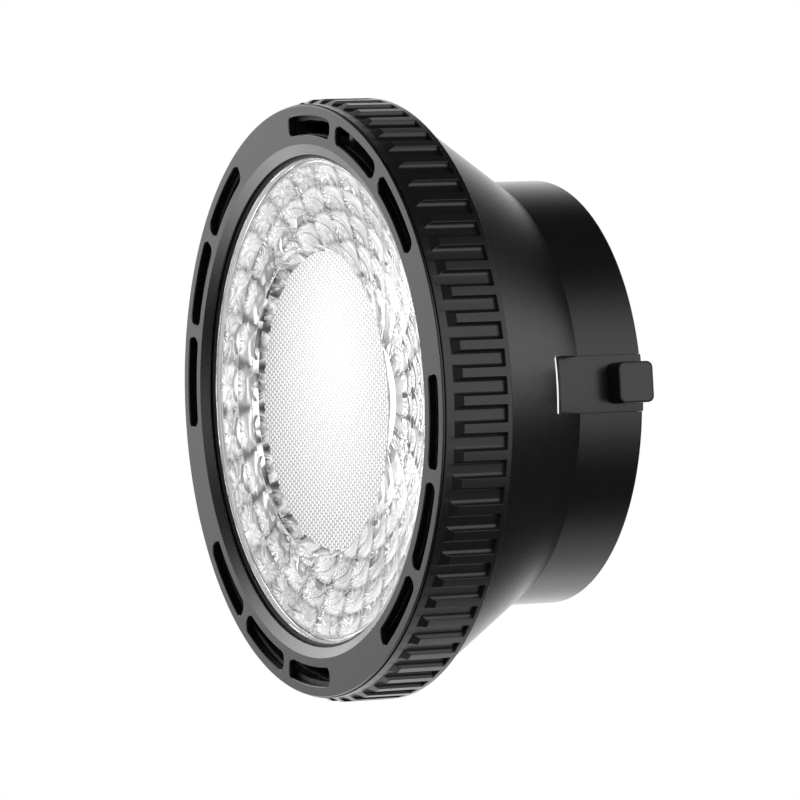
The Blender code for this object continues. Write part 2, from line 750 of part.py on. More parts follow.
def bayonet_ring(material):
    outer = BARREL_INNER_R - GAP
    front, back = BAYONET_FRONT, BAYONET_FRONT + BAYONET_LENGTH
    outline = [
        (SHOULDER_R, front), (outer, front), (outer, back), (BAYONET_R, back),
        (BAYONET_R, front + BAYONET_FLANGE), (SHOULDER_R, front + BAYONET_FLANGE),
    ]
    ring = revolve("bayonet_ring", outline)
    for index in range(LUG_COUNT):
        middle = FIRST_LUG + index * 360 / LUG_COUNT
        lug = arc_wall("lug", LUG_R, (BAYONET_R + outer) / 2, middle - LUG_ANGLE / 2,
                       middle + LUG_ANGLE / 2, back - LUG_THICKNESS, back, steps=8)
        join(ring, lug)
    for turn in BAYONET_SCREWS:
        centre = polar(bayonet_screw_r(), turn)
        cut(ring, hole(BAYONET_SCREW_R, centre + Vector((0, front - PAST, 0)),
                       centre + Vector((0, front + BAYONET_FLANGE + PAST, 0))))
    gap_half = GUIDE_WIDTH / 2 + GAP
    cut(ring, block("latch_room", (LUG_R * 0.7, front - PAST, -gap_half),
                    (BARREL_R, back + PAST, gap_half)))
    return finish(ring, material)


def bayonet_screws(material):
    top_y = BAYONET_FRONT + BAYONET_FLANGE + GAP + SMALL_HEAD
    for index, turn in enumerate(BAYONET_SCREWS, 1):
        top = polar(bayonet_screw_r(), turn, top_y)
        screw(f"bayonet_screw_{index}", material, top, (0, -1, 0), BAYONET_SCREW_R, BAYONET_HEAD_R,
              SMALL_HEAD, SMALL_LENGTH)


def sector(name, inner, outer, half_width, front, back):
    """A stretch of ring on the +X side with flat, parallel sides."""
    first = degrees(asin(half_width / outer)) + 6
    wall = arc_wall(name, inner, outer, -first, first, front, back, steps=12)
    return keep(wall, block("side", (0, front - PAST, -half_width), (outer + PAST, back + PAST, half_width)))


def latch_plate(material):
    plate = sector("latch_plate", BARREL_INNER_R, BARREL_R, PAD_WIDTH / 2, PAD_FRONT, 0.0)
    wings = sector("wings", WING_R, WING_TOP_R, WING_WIDTH / 2, WING_FRONT, WING_FRONT + WING_LENGTH)
    neck = sector("neck", WING_TOP_R - 4 * HAIR, BARREL_INNER_R + 4 * HAIR, PAD_WIDTH / 2 - HAIR,
                  WING_FRONT + HAIR, WING_FRONT + WING_LENGTH - HAIR)
    join(plate, neck, wings)
    spring_half = SPRING_R + SPRING_WIRE_R + GAP
    cut(plate, block("spring_room", (WING_R - PAST, WING_FRONT - PAST, -spring_half),
                     (WING_TOP_R + 2 * HAIR, spring_back() + GAP, spring_half)))
    tooth_half = TOOTH_WIDTH / 2 + GAP
    cut(plate, block("tooth_room", (WING_R - PAST, tooth_front() - GAP, -tooth_half),
                     (WING_R + SINK_DEPTH, tooth_front() + TOOTH_LENGTH + GAP, tooth_half)))
    y = knob_middle()
    cut(plate, hole(BAYONET_SCREW_R, (WING_R - PAST, y, 0), (BARREL_R + PAST, y, 0)),
        rod("screw_sink", BAYONET_HEAD_R + GAP, (WING_R - PAST, y, 0), (WING_R + SINK_DEPTH, y, 0), 16))
    return finish(plate, material, (BARREL_R, PAD_FRONT, 0))


def knob_middle():
    return -KNOB_LENGTH / 2


def spring_front():
    """The still end of the spring, against the guide's end wall."""
    return GUIDE_FRONT + GUIDE_END + GAP


def spring_back():
    return spring_front() + SPRING_LENGTH


def tooth_front():
    return spring_back() + 3 * GAP + 4 * HAIR


def latch_knob(material):
    base = BARREL_R + HAIR
    flat = rounded_rectangle(KNOB_LENGTH, KNOB_WIDTH, KNOB_CORNER)
    outline = [(u + knob_middle(), v) for u, v in flat]
    knob = radial_slot("latch_knob", outline, base, BARREL_R + KNOB_HEIGHT, 0)
    bm = bmesh.new()
    bm.from_mesh(knob.data)
    rim = BARREL_R + KNOB_HEIGHT - MERGE
    top = [edge for edge in bm.edges if all(vertex.co.x > rim for vertex in edge.verts)]
    bmesh.ops.bevel(bm, geom=top, offset=KNOB_EDGE, segments=1, affect="EDGES")
    bm.to_mesh(knob.data)
    bm.free()
    cut(knob, rod("seat", BARREL_R + GAP, (0, -KNOB_LENGTH - PAST, 0), (0, PAST, 0), 2 * STEPS))
    y = knob_middle()
    cut(knob, hole(BAYONET_SCREW_R, (BARREL_R - PAST, y, 0), (BARREL_R + KNOB_HEIGHT - KNOB_ROOF, y, 0)))
    return finish(knob, material, (BARREL_R, y, 0))


def latch_screw(material):
    y = knob_middle()
    top = (WING_R + 2 * HAIR, y, 0)
    length = BARREL_R + KNOB_HEIGHT - KNOB_ROOF - 4 * HAIR - top[0]
    screw("latch_screw", material, top, (1, 0, 0), BAYONET_SCREW_R, BAYONET_HEAD_R, SMALL_HEAD, length)


def latch_tooth(material):
    tooth = block("latch_tooth", (WING_R - TOOTH_REACH, tooth_front(), -TOOTH_WIDTH / 2),
                  (WING_R + SINK_DEPTH - GAP, tooth_front() + TOOTH_LENGTH, TOOTH_WIDTH / 2))
    tip = block("slope", (WING_R - TOOTH_REACH - PAST, tooth_front() + TOOTH_LENGTH * 0.4, -TOOTH_WIDTH),
                (WING_R - TOOTH_REACH + 5 * HAIR, tooth_front() + TOOTH_LENGTH + PAST, TOOTH_WIDTH))
    cut(tooth, tip)
    return finish(tooth, material, (WING_R, tooth_front(), 0))


def guide_screw_turn():
    """Angle of the guide's screws, in the middle of its side rails."""
    middle = (WING_WIDTH / 2 + GAP + GUIDE_WIDTH / 2) / 2
    return degrees(asin(middle / BARREL_INNER_R))


def guide_screw_y():
    return GUIDE_FRONT + GUIDE_LENGTH * 0.62


def latch_guide(material):
    guide = sector("latch_guide", GUIDE_R, WING_TOP_R, GUIDE_WIDTH / 2, GUIDE_FRONT, GUIDE_BACK)
    room_half = WING_WIDTH / 2 + GAP
    room = sector("room", GUIDE_TOP_R, WING_TOP_R + PAST, room_half, GUIDE_FRONT + GUIDE_END,
                  GUIDE_BACK + PAST)
    cut(guide, room)
    slot_half = TOOTH_WIDTH / 2 + GAP
    low_r = GUIDE_R - WING_THICKNESS
    cut(guide, block("tooth_slot", (low_r, tooth_front() - LATCH_TRAVEL - GAP, -slot_half),
                     (GUIDE_TOP_R + PAST, tooth_front() + TOOTH_LENGTH + 2 * GAP, slot_half)))
    y = knob_middle()
    half = BAYONET_HEAD_R + GAP
    cut(guide, block("driver_slot", (low_r, y - half - LATCH_TRAVEL, -half),
                     (GUIDE_TOP_R + PAST, y + half, half)))
    for side in (1, -1):
        turn = guide_screw_turn() * side
        cut(guide, hole(BAYONET_SCREW_R, polar(low_r, turn, guide_screw_y()),
                        polar(BARREL_R, turn, guide_screw_y())))
    return finish(guide, material)


def guide_screws(material):
    for index, side in enumerate((1, -1), 1):
        turn = guide_screw_turn() * side
        head_r = GUIDE_R - SMALL_HEAD - GAP
        length = BARREL_R - 4 * HAIR - HOLE_GAP * 2 - head_r
        screw(f"guide_screw_{index}", material, polar(head_r, turn, guide_screw_y()), polar(1.0, turn),
              BAYONET_SCREW_R, BAYONET_HEAD_R, SMALL_HEAD, length)


def latch_spring(material):
    """A compression spring along the axis, as a swept wire."""
    count = SPRING_TURNS * SPRING_SIDES
    curve = bpy.data.curves.new("latch_spring", "CURVE")
    curve.dimensions = "3D"
    curve.bevel_depth = SPRING_WIRE_R
    curve.bevel_resolution = 0
    curve.use_fill_caps = True
    spline = curve.splines.new("POLY")
    spline.points.add(count)
    length = SPRING_LENGTH - 2 * SPRING_WIRE_R
    for index in range(count + 1):
        angle = tau * index / SPRING_SIDES
        y = spring_front() + SPRING_WIRE_R + length * index / count
        x = SPRING_MID_R + SPRING_R * cos(angle)
        spline.points[index].co = (x, y, SPRING_R * sin(angle), 1.0)
    holder = bpy.data.objects.new("wire", curve)
    bpy.context.scene.collection.objects.link(holder)
    graph = bpy.context.evaluated_depsgraph_get()
    mesh = bpy.data.meshes.new_from_object(holder.evaluated_get(graph))
    bpy.data.objects.remove(holder, do_unlink=True)
    bm = bmesh.new()
    bm.from_mesh(mesh)
    spring = place("latch_spring", bm)
    return finish(spring, material, (SPRING_MID_R, spring_front(), 0))


def build():
    clear_scene()
    satin = finish_material("satin_black", (0.045, 0.045, 0.046), 0.42, 0.0)
    metal = finish_material("black_metal", (0.040, 0.040, 0.041), 0.36, 0.6)
    polymer = finish_material("dark_polymer", (0.03, 0.03, 0.03), 0.55)
    slippery = finish_material("white_polymer", (0.75, 0.74, 0.70), 0.5)
    steel = finish_material("steel", (0.55, 0.55, 0.56), 0.3, 1.0)
    rubber = finish_material("rubber", (0.02, 0.02, 0.02), 0.8)
    clear = finish_material("clear_lens", (0.95, 0.96, 0.97), 0.02, 0.0, 1.0)

    front_bezel(satin)
    front_frame(polymer)
    guide_tube(polymer)
    frame_screws(steel)
    focus_ring(satin)
    drag_washer(steel)
    slip_washer(slippery)
    cone_housing(satin)
    lens_carrier(polymer)
    tir_lens(clear)
    lens_gasket(rubber)
    lens_retainer(polymer)
    cam_followers(steel, slippery)
    bayonet_ring(metal)
    bayonet_screws(steel)
    latch_plate(satin)
    latch_knob(satin)
    latch_screw(steel)
    latch_tooth(steel)
    latch_guide(polymer)
    guide_screws(steel)
    latch_spring(steel)


build()
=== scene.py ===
from math import atan2, cos, degrees, hypot, pi, radians, sin, sqrt, tau

import bpy
from mathutils import Matrix, Vector


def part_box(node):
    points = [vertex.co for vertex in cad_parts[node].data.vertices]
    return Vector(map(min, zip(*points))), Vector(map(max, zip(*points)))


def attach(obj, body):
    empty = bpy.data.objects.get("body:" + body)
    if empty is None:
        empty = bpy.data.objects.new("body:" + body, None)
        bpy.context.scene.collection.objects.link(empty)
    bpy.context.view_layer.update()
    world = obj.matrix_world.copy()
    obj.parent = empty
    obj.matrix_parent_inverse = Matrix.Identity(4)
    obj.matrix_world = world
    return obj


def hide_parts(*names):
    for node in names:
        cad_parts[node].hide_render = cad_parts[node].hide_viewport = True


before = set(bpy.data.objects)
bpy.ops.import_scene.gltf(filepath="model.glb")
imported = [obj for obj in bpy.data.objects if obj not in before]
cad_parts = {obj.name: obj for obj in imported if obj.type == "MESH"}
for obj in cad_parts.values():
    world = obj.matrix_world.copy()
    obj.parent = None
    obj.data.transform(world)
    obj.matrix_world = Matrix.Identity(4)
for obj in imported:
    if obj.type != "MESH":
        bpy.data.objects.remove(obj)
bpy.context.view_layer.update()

MM = 0.001

# Read from the frame.
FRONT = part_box("front_bezel")[0].y
FACE_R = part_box("front_bezel")[1].z
RING_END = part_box("focus_ring")[1].y
RIB_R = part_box("focus_ring")[1].z
CARRIER_LOW, CARRIER_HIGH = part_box("lens_carrier")
BARREL_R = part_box("latch_plate")[1].x
PAD_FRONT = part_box("latch_plate")[0].y
CONE_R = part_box("cone_housing")[1].z
LENS_LOW, LENS_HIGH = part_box("tir_lens")
LENS_R = LENS_HIGH.z

# The ribbed ring and what runs inside it.
GAP = 0.3 * MM
BAND_R = FACE_R + 0.2 * MM
RIB_COUNT = 70
PITCH = tau / RIB_COUNT
RIB_TOP = 1.7 * MM
CAM_BORE_R = 50.9 * MM
CAM_FLOOR_R = 52.7 * MM
CAM_STARTS = (76.0, 196.0, 316.0)
CAM_TURN = 60
CAM_TRAVEL = 4.5 * MM
FRAME_BORE_R = 52.4 * MM

FACE_PLATE = 1.3
SLOT_MID_R = 50.25 * MM
PAD_HALF = 5.15 * MM

# The lens's well, flange and flank.
WELL_FLOOR = LENS_LOW.y + 2.3 * MM
WELL_R = 26.9 * MM
FLANGE_BACK = 4.6
TAIL_R = 12.5 * MM
HEAD_R = 43.1 * MM
FLANK_POWER = 0.72

FINE = 144                    # facets of an outer round
MERGE = 2e-6                  # corners closer than this are one


def deep(distance):
    """The y of a plane this many millimetres behind the front face."""
    return FRONT + distance * MM


# Modelling by hand, with nothing selected but what is worked on.

def clear_selection():
    if bpy.context.object and bpy.context.object.mode != "OBJECT":
        bpy.ops.object.mode_set(mode="OBJECT")
    bpy.ops.object.select_all(action="DESELECT")


def take(obj):
    """Selects one object only and makes it the active one."""
    clear_selection()
    obj.select_set(True)
    bpy.context.view_layer.objects.active = obj
    return obj


def named(name):
    """Names the new primitive and settles its place into its mesh."""
    obj = bpy.context.object
    obj.name = name
    obj.data.name = name
    bpy.ops.object.transform_apply(location=True, rotation=True, scale=True)
    return obj


def edit(obj, kind="VERT", test=None):
    """Opens an object for editing, with all of it selected or only what passes a test."""
    take(obj)
    bpy.ops.object.mode_set(mode="EDIT")
    bpy.ops.mesh.select_mode(type=kind)
    bpy.ops.mesh.select_all(action="SELECT" if test is None else "DESELECT")
    if test is None:
        return
    bpy.ops.object.mode_set(mode="OBJECT")
    mesh = obj.data
    items = {"VERT": mesh.vertices, "EDGE": mesh.edges, "FACE": mesh.polygons}[kind]
    for item in items:
        item.select = bool(test(item))
    bpy.ops.object.mode_set(mode="EDIT")


def close():
    """Leaves edit mode."""
    bpy.ops.object.mode_set(mode="OBJECT")


def heal(obj):
    """Merges doubles and turns every face outwards."""
    edit(obj)
    bpy.ops.mesh.remove_doubles(threshold=MERGE)
    bpy.ops.mesh.normals_make_consistent(inside=False)
    close()
    return obj


def apply(obj, kind, **settings):
    """Adds a modifier with these settings and applies it."""
    take(obj)
    modifier = obj.modifiers.new(kind.lower(), kind)
    for key, value in settings.items():
        setattr(modifier, key, value)
    bpy.ops.object.modifier_apply(modifier=modifier.name)
    return obj


def soften(obj, width, segments=2, angle=30.0):
    """Rounds every edge sharper than an angle."""
    return apply(obj, "BEVEL", width=width, segments=segments, limit_method="ANGLE",
                 angle_limit=radians(angle), use_clamp_overlap=True, miter_outer="MITER_ARC")


def carve(obj, *others, operation="DIFFERENCE"):
    """Cuts with each other object, or joins it, and uses it up."""
    for other in others:
        apply(obj, "BOOLEAN", operation=operation, solver="EXACT", object=other)
        bpy.data.objects.remove(other, do_unlink=True)
    return obj


def copied(obj, name):
    """A copy with its own mesh."""
    twin = obj.copy()
    twin.data = obj.data.copy()
    twin.name = name
    bpy.context.scene.collection.objects.link(twin)
    return twin


def turn(obj, angle):
    """Turns a finished mesh about the optical axis, from +X towards +Z, in degrees."""
    obj.data.transform(Matrix.Rotation(-radians(angle), 4, "Y"))
    return obj


def array_of(obj, count, step):
    """Repeats an object by a fixed step."""
    return apply(obj, "ARRAY", count=count, use_relative_offset=False, use_constant_offset=True,
                 constant_offset_displace=step)


def copy_round(obj, turns, stem):
    """Copies an object to each angle and joins the copies into one."""
    copies = [turn(copied(obj, stem), angle) for angle in turns]
    bpy.data.objects.remove(obj, do_unlink=True)
    return joined(stem, copies)


def joined(name, objects):
    """Joins objects into the first one and names it."""
    clear_selection()
    for obj in objects:
        obj.select_set(True)
    bpy.context.view_layer.objects.active = objects[0]
    if len(objects) > 1:
        bpy.ops.object.join()
    objects[0].name = name
    return objects[0]


def turned(name, outline, steps=FINE, rounding=0.0, segments=2, ring=True):
    """A round piece: a circle at the outline's first corner, drawn on from corner to corner."""
    clear_selection()
    radius, y = outline[0]
    bpy.ops.mesh.primitive_circle_add(vertices=steps, radius=radius, location=(0, y, 0),
                                      rotation=(pi / 2, 0, 0))
    obj = named(name)
    edit(obj)
    corners = outline[1:] + (outline[:1] if ring else [])
    for next_radius, next_y in corners:
        bpy.ops.mesh.extrude_region()
        share = next_radius / radius
        bpy.ops.transform.resize(value=(share, 1, share), center_override=(0, 0, 0))
        bpy.ops.transform.translate(value=(0, next_y - y, 0))
        radius, y = next_radius, next_y
    close()
    heal(obj)
    if rounding:
        soften(obj, rounding, segments)
    return obj


def box(name, low, high):
    """A box between two opposite corners."""
    clear_selection()
    size = [b - a for a, b in zip(low, high)]
    middle = [(a + b) / 2 for a, b in zip(low, high)]
    bpy.ops.mesh.primitive_cube_add(size=1, location=middle, scale=size)
    return named(name)


def rod(name, radius, start, end, sides=32):
    """A cylinder from one point to another."""
    start, end = Vector(start), Vector(end)
    along = end - start
    clear_selection()
    bpy.ops.mesh.primitive_cylinder_add(vertices=sides, radius=radius, depth=along.length,
                                        location=(start + end) / 2,
                                        rotation=along.to_track_quat("Z", "Y").to_euler())
    return named(name)


def polar(radius, angle, y=0.0):
    """A point at this radius and this angle in degrees about the optical axis."""
    return Vector((radius * cos(radians(angle)), y, radius * sin(radians(angle))))


def bend_round(obj, radius):
    """Bends a piece laid flat along Z at this radius round the optical axis."""
    for vertex in obj.data.vertices:
        angle = vertex.co.z / radius
        vertex.co = Vector((vertex.co.x * cos(angle), vertex.co.y, vertex.co.x * sin(angle)))
    return obj


def smooth(obj, angle=32.0):
    """Shades rounds smooth, and leaves edges sharper than this angle in degrees sharp."""
    take(obj)
    bpy.ops.object.shade_smooth_by_angle(angle=radians(angle))
    return obj


def done(obj, material, body, slot, *nodes, angle=32.0):
    """Finishes a piece: smooth rounds, its material, the body it rides on and what it replaces."""
    smooth(obj, angle)
    apply(obj, "WEIGHTED_NORMAL", keep_sharp=True, weight=90)
    obj.data.materials.clear()
    obj.data.materials.append(material)
    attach(obj, body)
    if nodes:
        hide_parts(*nodes)
    return obj


def refined(cad, name, width, segments=2, angle=30.0):
    """A copy of a CAD node with its flats made whole and its edges rounded."""
    clear_selection()
    obj = copied(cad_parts[cad], name)
    for key in list(obj.keys()):
        del obj[key]
    obj.parent = None
    obj.hide_render = False
    obj.hide_viewport = False
    edit(obj)
    bpy.ops.mesh.remove_doubles(threshold=MERGE)
    bpy.ops.mesh.dissolve_limited(angle_limit=radians(1.5))
    close()
    return soften(obj, width, segments, angle) if width else obj


# Shader maths as expressions on sockets.

class Value:
    """A socket that adds, subtracts, multiplies and divides like a number."""

    def __init__(self, tree, socket):
        self.tree = tree
        self.socket = socket

    def math(self, operation, *others):
        return node(self.tree, "ShaderNodeMath", {"operation": operation},
                    dict(enumerate((self,) + others)))

    def __add__(self, other):
        return self.math("ADD", other)

    def __radd__(self, other):
        return self.math("ADD", other)

    def __sub__(self, other):
        return self.math("SUBTRACT", other)

    def __rsub__(self, other):
        return node(self.tree, "ShaderNodeMath", {"operation": "SUBTRACT"}, {0: other, 1: self})

    def __mul__(self, other):
        return self.math("MULTIPLY", other)

    def __truediv__(self, other):
        return self.math("DIVIDE", other)

    def __pow__(self, other):
        return self.math("POWER", other)

    def clamp(self):
        return node(self.tree, "ShaderNodeClamp", {}, {"Value": self})


def node(tree, kind, settings, inputs, output=0):
    """Adds a node: its settings first, then the values or links of its sockets."""
    made = tree.nodes.new(kind)
    for key, value in settings.items():
        setattr(made, key, value)
    for key, value in inputs.items():
        if isinstance(value, Value):
            tree.links.new(value.socket, made.inputs[key])
        else:
            made.inputs[key].default_value = value
    return Value(tree, made.outputs[output])


def new_material(name, **constants):
    """A material with constants set on its Principled shader; returns it, its tree and shader."""
    material = bpy.data.materials.new(name)
    material.use_nodes = True
    tree = material.node_tree
    shader = tree.nodes["Principled BSDF"]
    for key, value in constants.items():
        shader.inputs[key.replace("_", " ")].default_value = value
    return material, tree, shader


def plug(tree, value, shader, socket):
    """Links a value to one of the shader's sockets."""
    tree.links.new(value.socket, shader.inputs[socket])


def place_of(tree):
    """Object coordinates."""
    return node(tree, "ShaderNodeTexCoord", {}, {}, "Object")


def noise(tree, scale, detail=3.0, roughness=0.5, vector=None):
    """Smooth noise from 0 to 1, in object coordinates unless given others."""
    return node(tree, "ShaderNodeTexNoise", {},
                {"Vector": vector or place_of(tree), "Scale": scale, "Detail": detail,
                 "Roughness": roughness}, "Fac")


def blend(tree, factor, first, second):
    """Mixes two colours by a factor."""
    made = tree.nodes.new("ShaderNodeMix")
    made.data_type = "RGBA"
    for index, value in ((0, factor), (6, first), (7, second)):
        if isinstance(value, Value):
            tree.links.new(value.socket, made.inputs[index])
        else:
            made.inputs[index].default_value = value
    return Value(tree, made.outputs[2])


def grey(level, warmth=0.0):
    """A grey, made warmer by this share."""
    return (level * (1 + warmth), level, level * (1 - warmth), 1.0)


def bumped(tree, height, shader, distance):
    """Raises the surface by a value, at most by this distance."""
    bump = node(tree, "ShaderNodeBump", {}, {"Height": height, "Distance": distance,
                                             "Strength": 1.0}, "Normal")
    plug(tree, bump, shader, "Normal")


def moulded(name, level, gloss, grain, grain_depth):
    """Moulded black plastic: a fine spark-eroded grain, faint flow mottle and handling haze."""
    material, tree, shader = new_material(name, Specular_IOR_Level=0.5)
    flow = noise(tree, 60.0, 4.0, 0.6)
    haze = noise(tree, 420.0, 5.0, 0.65)
    spark = noise(tree, grain, 2.0, 0.5)
    shade = (flow * 0.6 + haze * 0.4).clamp()
    mottle = 0.25
    plug(tree, blend(tree, shade, grey(level * (1 - mottle)), grey(level * (1 + mottle))), shader,
         "Base Color")
    plug(tree, gloss + (haze - 0.5) * 0.06 + (flow - 0.5) * 0.04, shader, "Roughness")
    bumped(tree, spark, shader, grain_depth * MM)
    return material


def satin_black():
    """The bezel, housing and latch: satin black."""
    return moulded("satin_black", 0.011, 0.27, 2600.0, 0.004)


def ring_black():
    """The focus ring: a slightly coarser black."""
    return moulded("ring_black", 0.013, 0.30, 2300.0, 0.006)


def dark_polymer():
    """Inner mouldings: matt black nylon."""
    return moulded("dark_polymer", 0.010, 0.55, 1800.0, 0.02)


def slip_polymer():
    """Natural acetal: milky, with fine turning marks."""
    material, tree, shader = new_material("slip_polymer", Subsurface_Weight=0.1)
    cloud = noise(tree, 300.0, 3.0)
    plug(tree, blend(tree, cloud, grey(0.66, 0.02), grey(0.78, 0.03)), shader, "Base Color")
    plug(tree, 0.42 + cloud * 0.12, shader, "Roughness")
    bumped(tree, noise(tree, 3000.0), shader, 0.01 * MM)
    return material


def black_metal():
    """Black anodised aluminium with turning lines that follow the axis."""
    material, tree, shader = new_material("black_metal", Metallic=0.7)
    lines = node(tree, "ShaderNodeMapping", {}, {"Vector": place_of(tree),
                                                 "Scale": (60.0, 9000.0, 60.0)})
    tooling = noise(tree, 1.0, 2.0, 0.5, lines)
    cloud = noise(tree, 200.0)
    plug(tree, blend(tree, cloud, grey(0.030), grey(0.055)), shader, "Base Color")
    plug(tree, 0.28 + tooling * 0.14, shader, "Roughness")
    bumped(tree, tooling, shader, 0.012 * MM)
    return material


def steel():
    """Plain bright steel with fine scratches."""
    material, tree, shader = new_material("steel", Metallic=1.0)
    scratch = node(tree, "ShaderNodeMapping", {}, {"Vector": place_of(tree),
                                                   "Scale": (4000.0, 400.0, 400.0)})
    scratches = noise(tree, 1.0, 4.0, 0.7, scratch)
    plug(tree, blend(tree, scratches, grey(0.42), grey(0.58, 0.01)), shader, "Base Color")
    plug(tree, 0.22 + scratches * 0.16, shader, "Roughness")
    bumped(tree, scratches, shader, 0.006 * MM)
    return material


def rubber():
    """Matt black rubber with some dust."""
    material, tree, shader = new_material("rubber")
    dust = noise(tree, 900.0, 5.0, 0.7)
    plug(tree, blend(tree, dust, grey(0.012), grey(0.030)), shader, "Base Color")
    plug(tree, 0.72 + dust * 0.15, shader, "Roughness")
    bumped(tree, dust, shader, 0.02 * MM)
    return material


def clear_lens():
    """Polished optical acrylic, with the faint waviness of a moulding."""
    material, tree, shader = new_material("clear_lens", Transmission_Weight=1.0, IOR=1.49,
                                          Base_Color=grey(0.98))
    wave = noise(tree, 160.0, 2.0)
    plug(tree, 0.008 + wave * 0.02, shader, "Roughness")
    bumped(tree, wave, shader, 0.02 * MM)
    return material


def own(tree, name):
    """A value stored on the mesh."""
    return node(tree, "ShaderNodeAttribute", {"attribute_name": name}, {}, "Fac")


def painted_light_facets():
    """The facets' reflecting side, with painted light: an emission glow painted into each facet and
    painted shade in the valleys between.
    """
    material, tree, shader = new_material("painted_light_facets", Metallic=1.0, Emission_Strength=0.42)
    swell = own(tree, "swell")
    tone = own(tree, "tone")
    ripple = noise(tree, 260.0, 2.0, 0.5)
    # Painted light and shade: the glow follows each facet's swell, lit in its middle and dark in its
    # valleys, fades along its row and varies with the facet's tone.
    light = node(tree, "ShaderNodeMapRange", {"interpolation_type": "SMOOTHSTEP"},
                 {"Value": swell, "From Min": 0.02, "From Max": 0.50})
    fan = noise(tree, 1.0, 2.0, 0.6, node(tree, "ShaderNodeMapping", {}, {
        "Vector": place_of(tree), "Scale": (260.0, 1500.0, 260.0)}))
    inwards = 1.15 - own(tree, "along") ** 2.0 * 0.75
    light = (light * inwards * (0.45 + tone * 0.65) * (0.93 + fan * 0.14)).clamp()
    plug(tree, blend(tree, ripple, grey(0.80), grey(0.95)), shader, "Base Color")
    plug(tree, 0.02 + ripple * 0.05, shader, "Roughness")
    plug(tree, blend(tree, light, grey(0.03), grey(1.0)), shader, "Emission Color")
    bumped(tree, ripple, shader, 0.006 * MM)
    return material


def painted_light_lenslets(name, low, high):
    """Lenslets over the lamp, with painted light: a painted glow, brightest above the middle, softer
    to the rim.
    """
    material, tree, shader = new_material(name, Coat_Weight=0.5, Coat_Roughness=0.12,
                                          Emission_Strength=1.0)
    centred = node(tree, "ShaderNodeMapping", {}, {"Vector": place_of(tree),
                                                   "Location": (-0.20, 0.0, -0.36),
                                                   "Scale": (46.0, 0.0, 38.0)})
    away = node(tree, "ShaderNodeVectorMath", {"operation": "LENGTH"}, {0: centred}, "Value")
    # Painted light: a painted hot spot above the middle that fades to the rim, in the emission and
    # the base colour.
    glow = (1.0 - away * 0.8).clamp()
    plug(tree, blend(tree, glow, grey(0.30), grey(0.40)), shader, "Base Color")
    plug(tree, 0.22 + glow * 0.1, shader, "Roughness")
    plug(tree, blend(tree, glow, grey(low), grey(high)), shader, "Emission Color")
    return material


SATIN = satin_black()
RING = ring_black()
DARK = dark_polymer()
SLIP = slip_polymer()
METAL = black_metal()
STEEL = steel()
RUBBER = rubber()
CLEAR = clear_lens()
FACET_PAINTED_LIGHT = painted_light_facets()

# How bright the painted glow on the lens is, away from its middle and at it; the grooves get less,
# as painted shade, and the flange back a dim painted glow.
DISC_PAINTED_LIGHT = painted_light_lenslets("painted_light_lenslets", 0.78, 0.88)
VALLEY_PAINTED_SHADE = painted_light_lenslets("painted_dim_light_grooves", 0.28, 0.70)
# The flange back: a dim painted glow.
RIM_PAINTED_LIGHT = painted_light_lenslets("painted_dim_light_flange", 0.34, 0.42)


# The front bezel: a chamfered plate with twelve vents.

def vent_turns():
    """Middle angles of the vents: four groups of three."""
    first, pitch = 61.2, 22.1
    return [first + 90 * group + pitch * step for group in range(4) for step in (-1, 0, 1)]


def vent_cutter():
    """One vent, laid flat, with round ends and a flared mouth, then bent round the axis."""
    half_length, half_width = 8.42 * MM, 1.75 * MM
    corner, flare = 1.4 * MM, 0.16 * MM
    low = deep(-0.5)
    cutter = box("vent", (SLOT_MID_R - half_width, low, -half_length),
                 (SLOT_MID_R + half_width, deep(3), half_length))
    edit(cutter, "EDGE", lambda e: abs(cutter.data.vertices[e.vertices[0]].co.y
                                       - cutter.data.vertices[e.vertices[1]].co.y) > MM)
    bpy.ops.mesh.bevel(offset=corner, segments=7, affect="EDGES")
    for step in range(-8, 9):
        bpy.ops.mesh.select_all(action="SELECT")
        bpy.ops.mesh.bisect(plane_co=(0, 0, step * half_length / 10), plane_no=(0, 0, 1))
    for depth in (0.0, flare / MM):
        bpy.ops.mesh.select_all(action="SELECT")
        bpy.ops.mesh.bisect(plane_co=(0, deep(depth), 0), plane_no=(0, 1, 0))
    close()
    for vertex in cutter.data.vertices:
        spread = min(deep(0) + flare - vertex.co.y, flare)
        if spread > 0:
            across = vertex.co.x - SLOT_MID_R
            inset_x = max(0.0, abs(across) - (half_width - corner)) / corner
            inset_z = max(0.0, abs(vertex.co.z) - (half_length - corner)) / corner
            length = hypot(inset_x, inset_z) or 1.0
            vertex.co.x += spread * (1 if across > 0 else -1) * inset_x / length
            vertex.co.z += spread * (1 if vertex.co.z > 0 else -1) * inset_z / length
    return bend_round(cutter, SLOT_MID_R)


def front_bezel():
    """The bezel with its chamfered bore, sloping rim and vents."""
    bore_r = 44.9 * MM
    chamfer_r = 46.8 * MM
    corner = 0.12
    slope_front = 0.42
    slope = FACE_PLATE - slope_front
    outline = [
        (bore_r, deep(1.0)), (chamfer_r, deep(0)), (FACE_R - corner * MM, deep(0)),
        (FACE_R, deep(corner)), (FACE_R, deep(slope_front)), (FACE_R - slope * MM, deep(FACE_PLATE)),
        (bore_r, deep(FACE_PLATE)),
    ]
    bezel = turned("front_bezel_cover", outline, 180, 0.06 * MM)
    carve(bezel, copy_round(vent_cutter(), vent_turns(), "vents"))
    done(bezel, SATIN, "housing", "satin_black", "front_bezel", angle=20)


# The focus ring: one rib and one trough, repeated round.

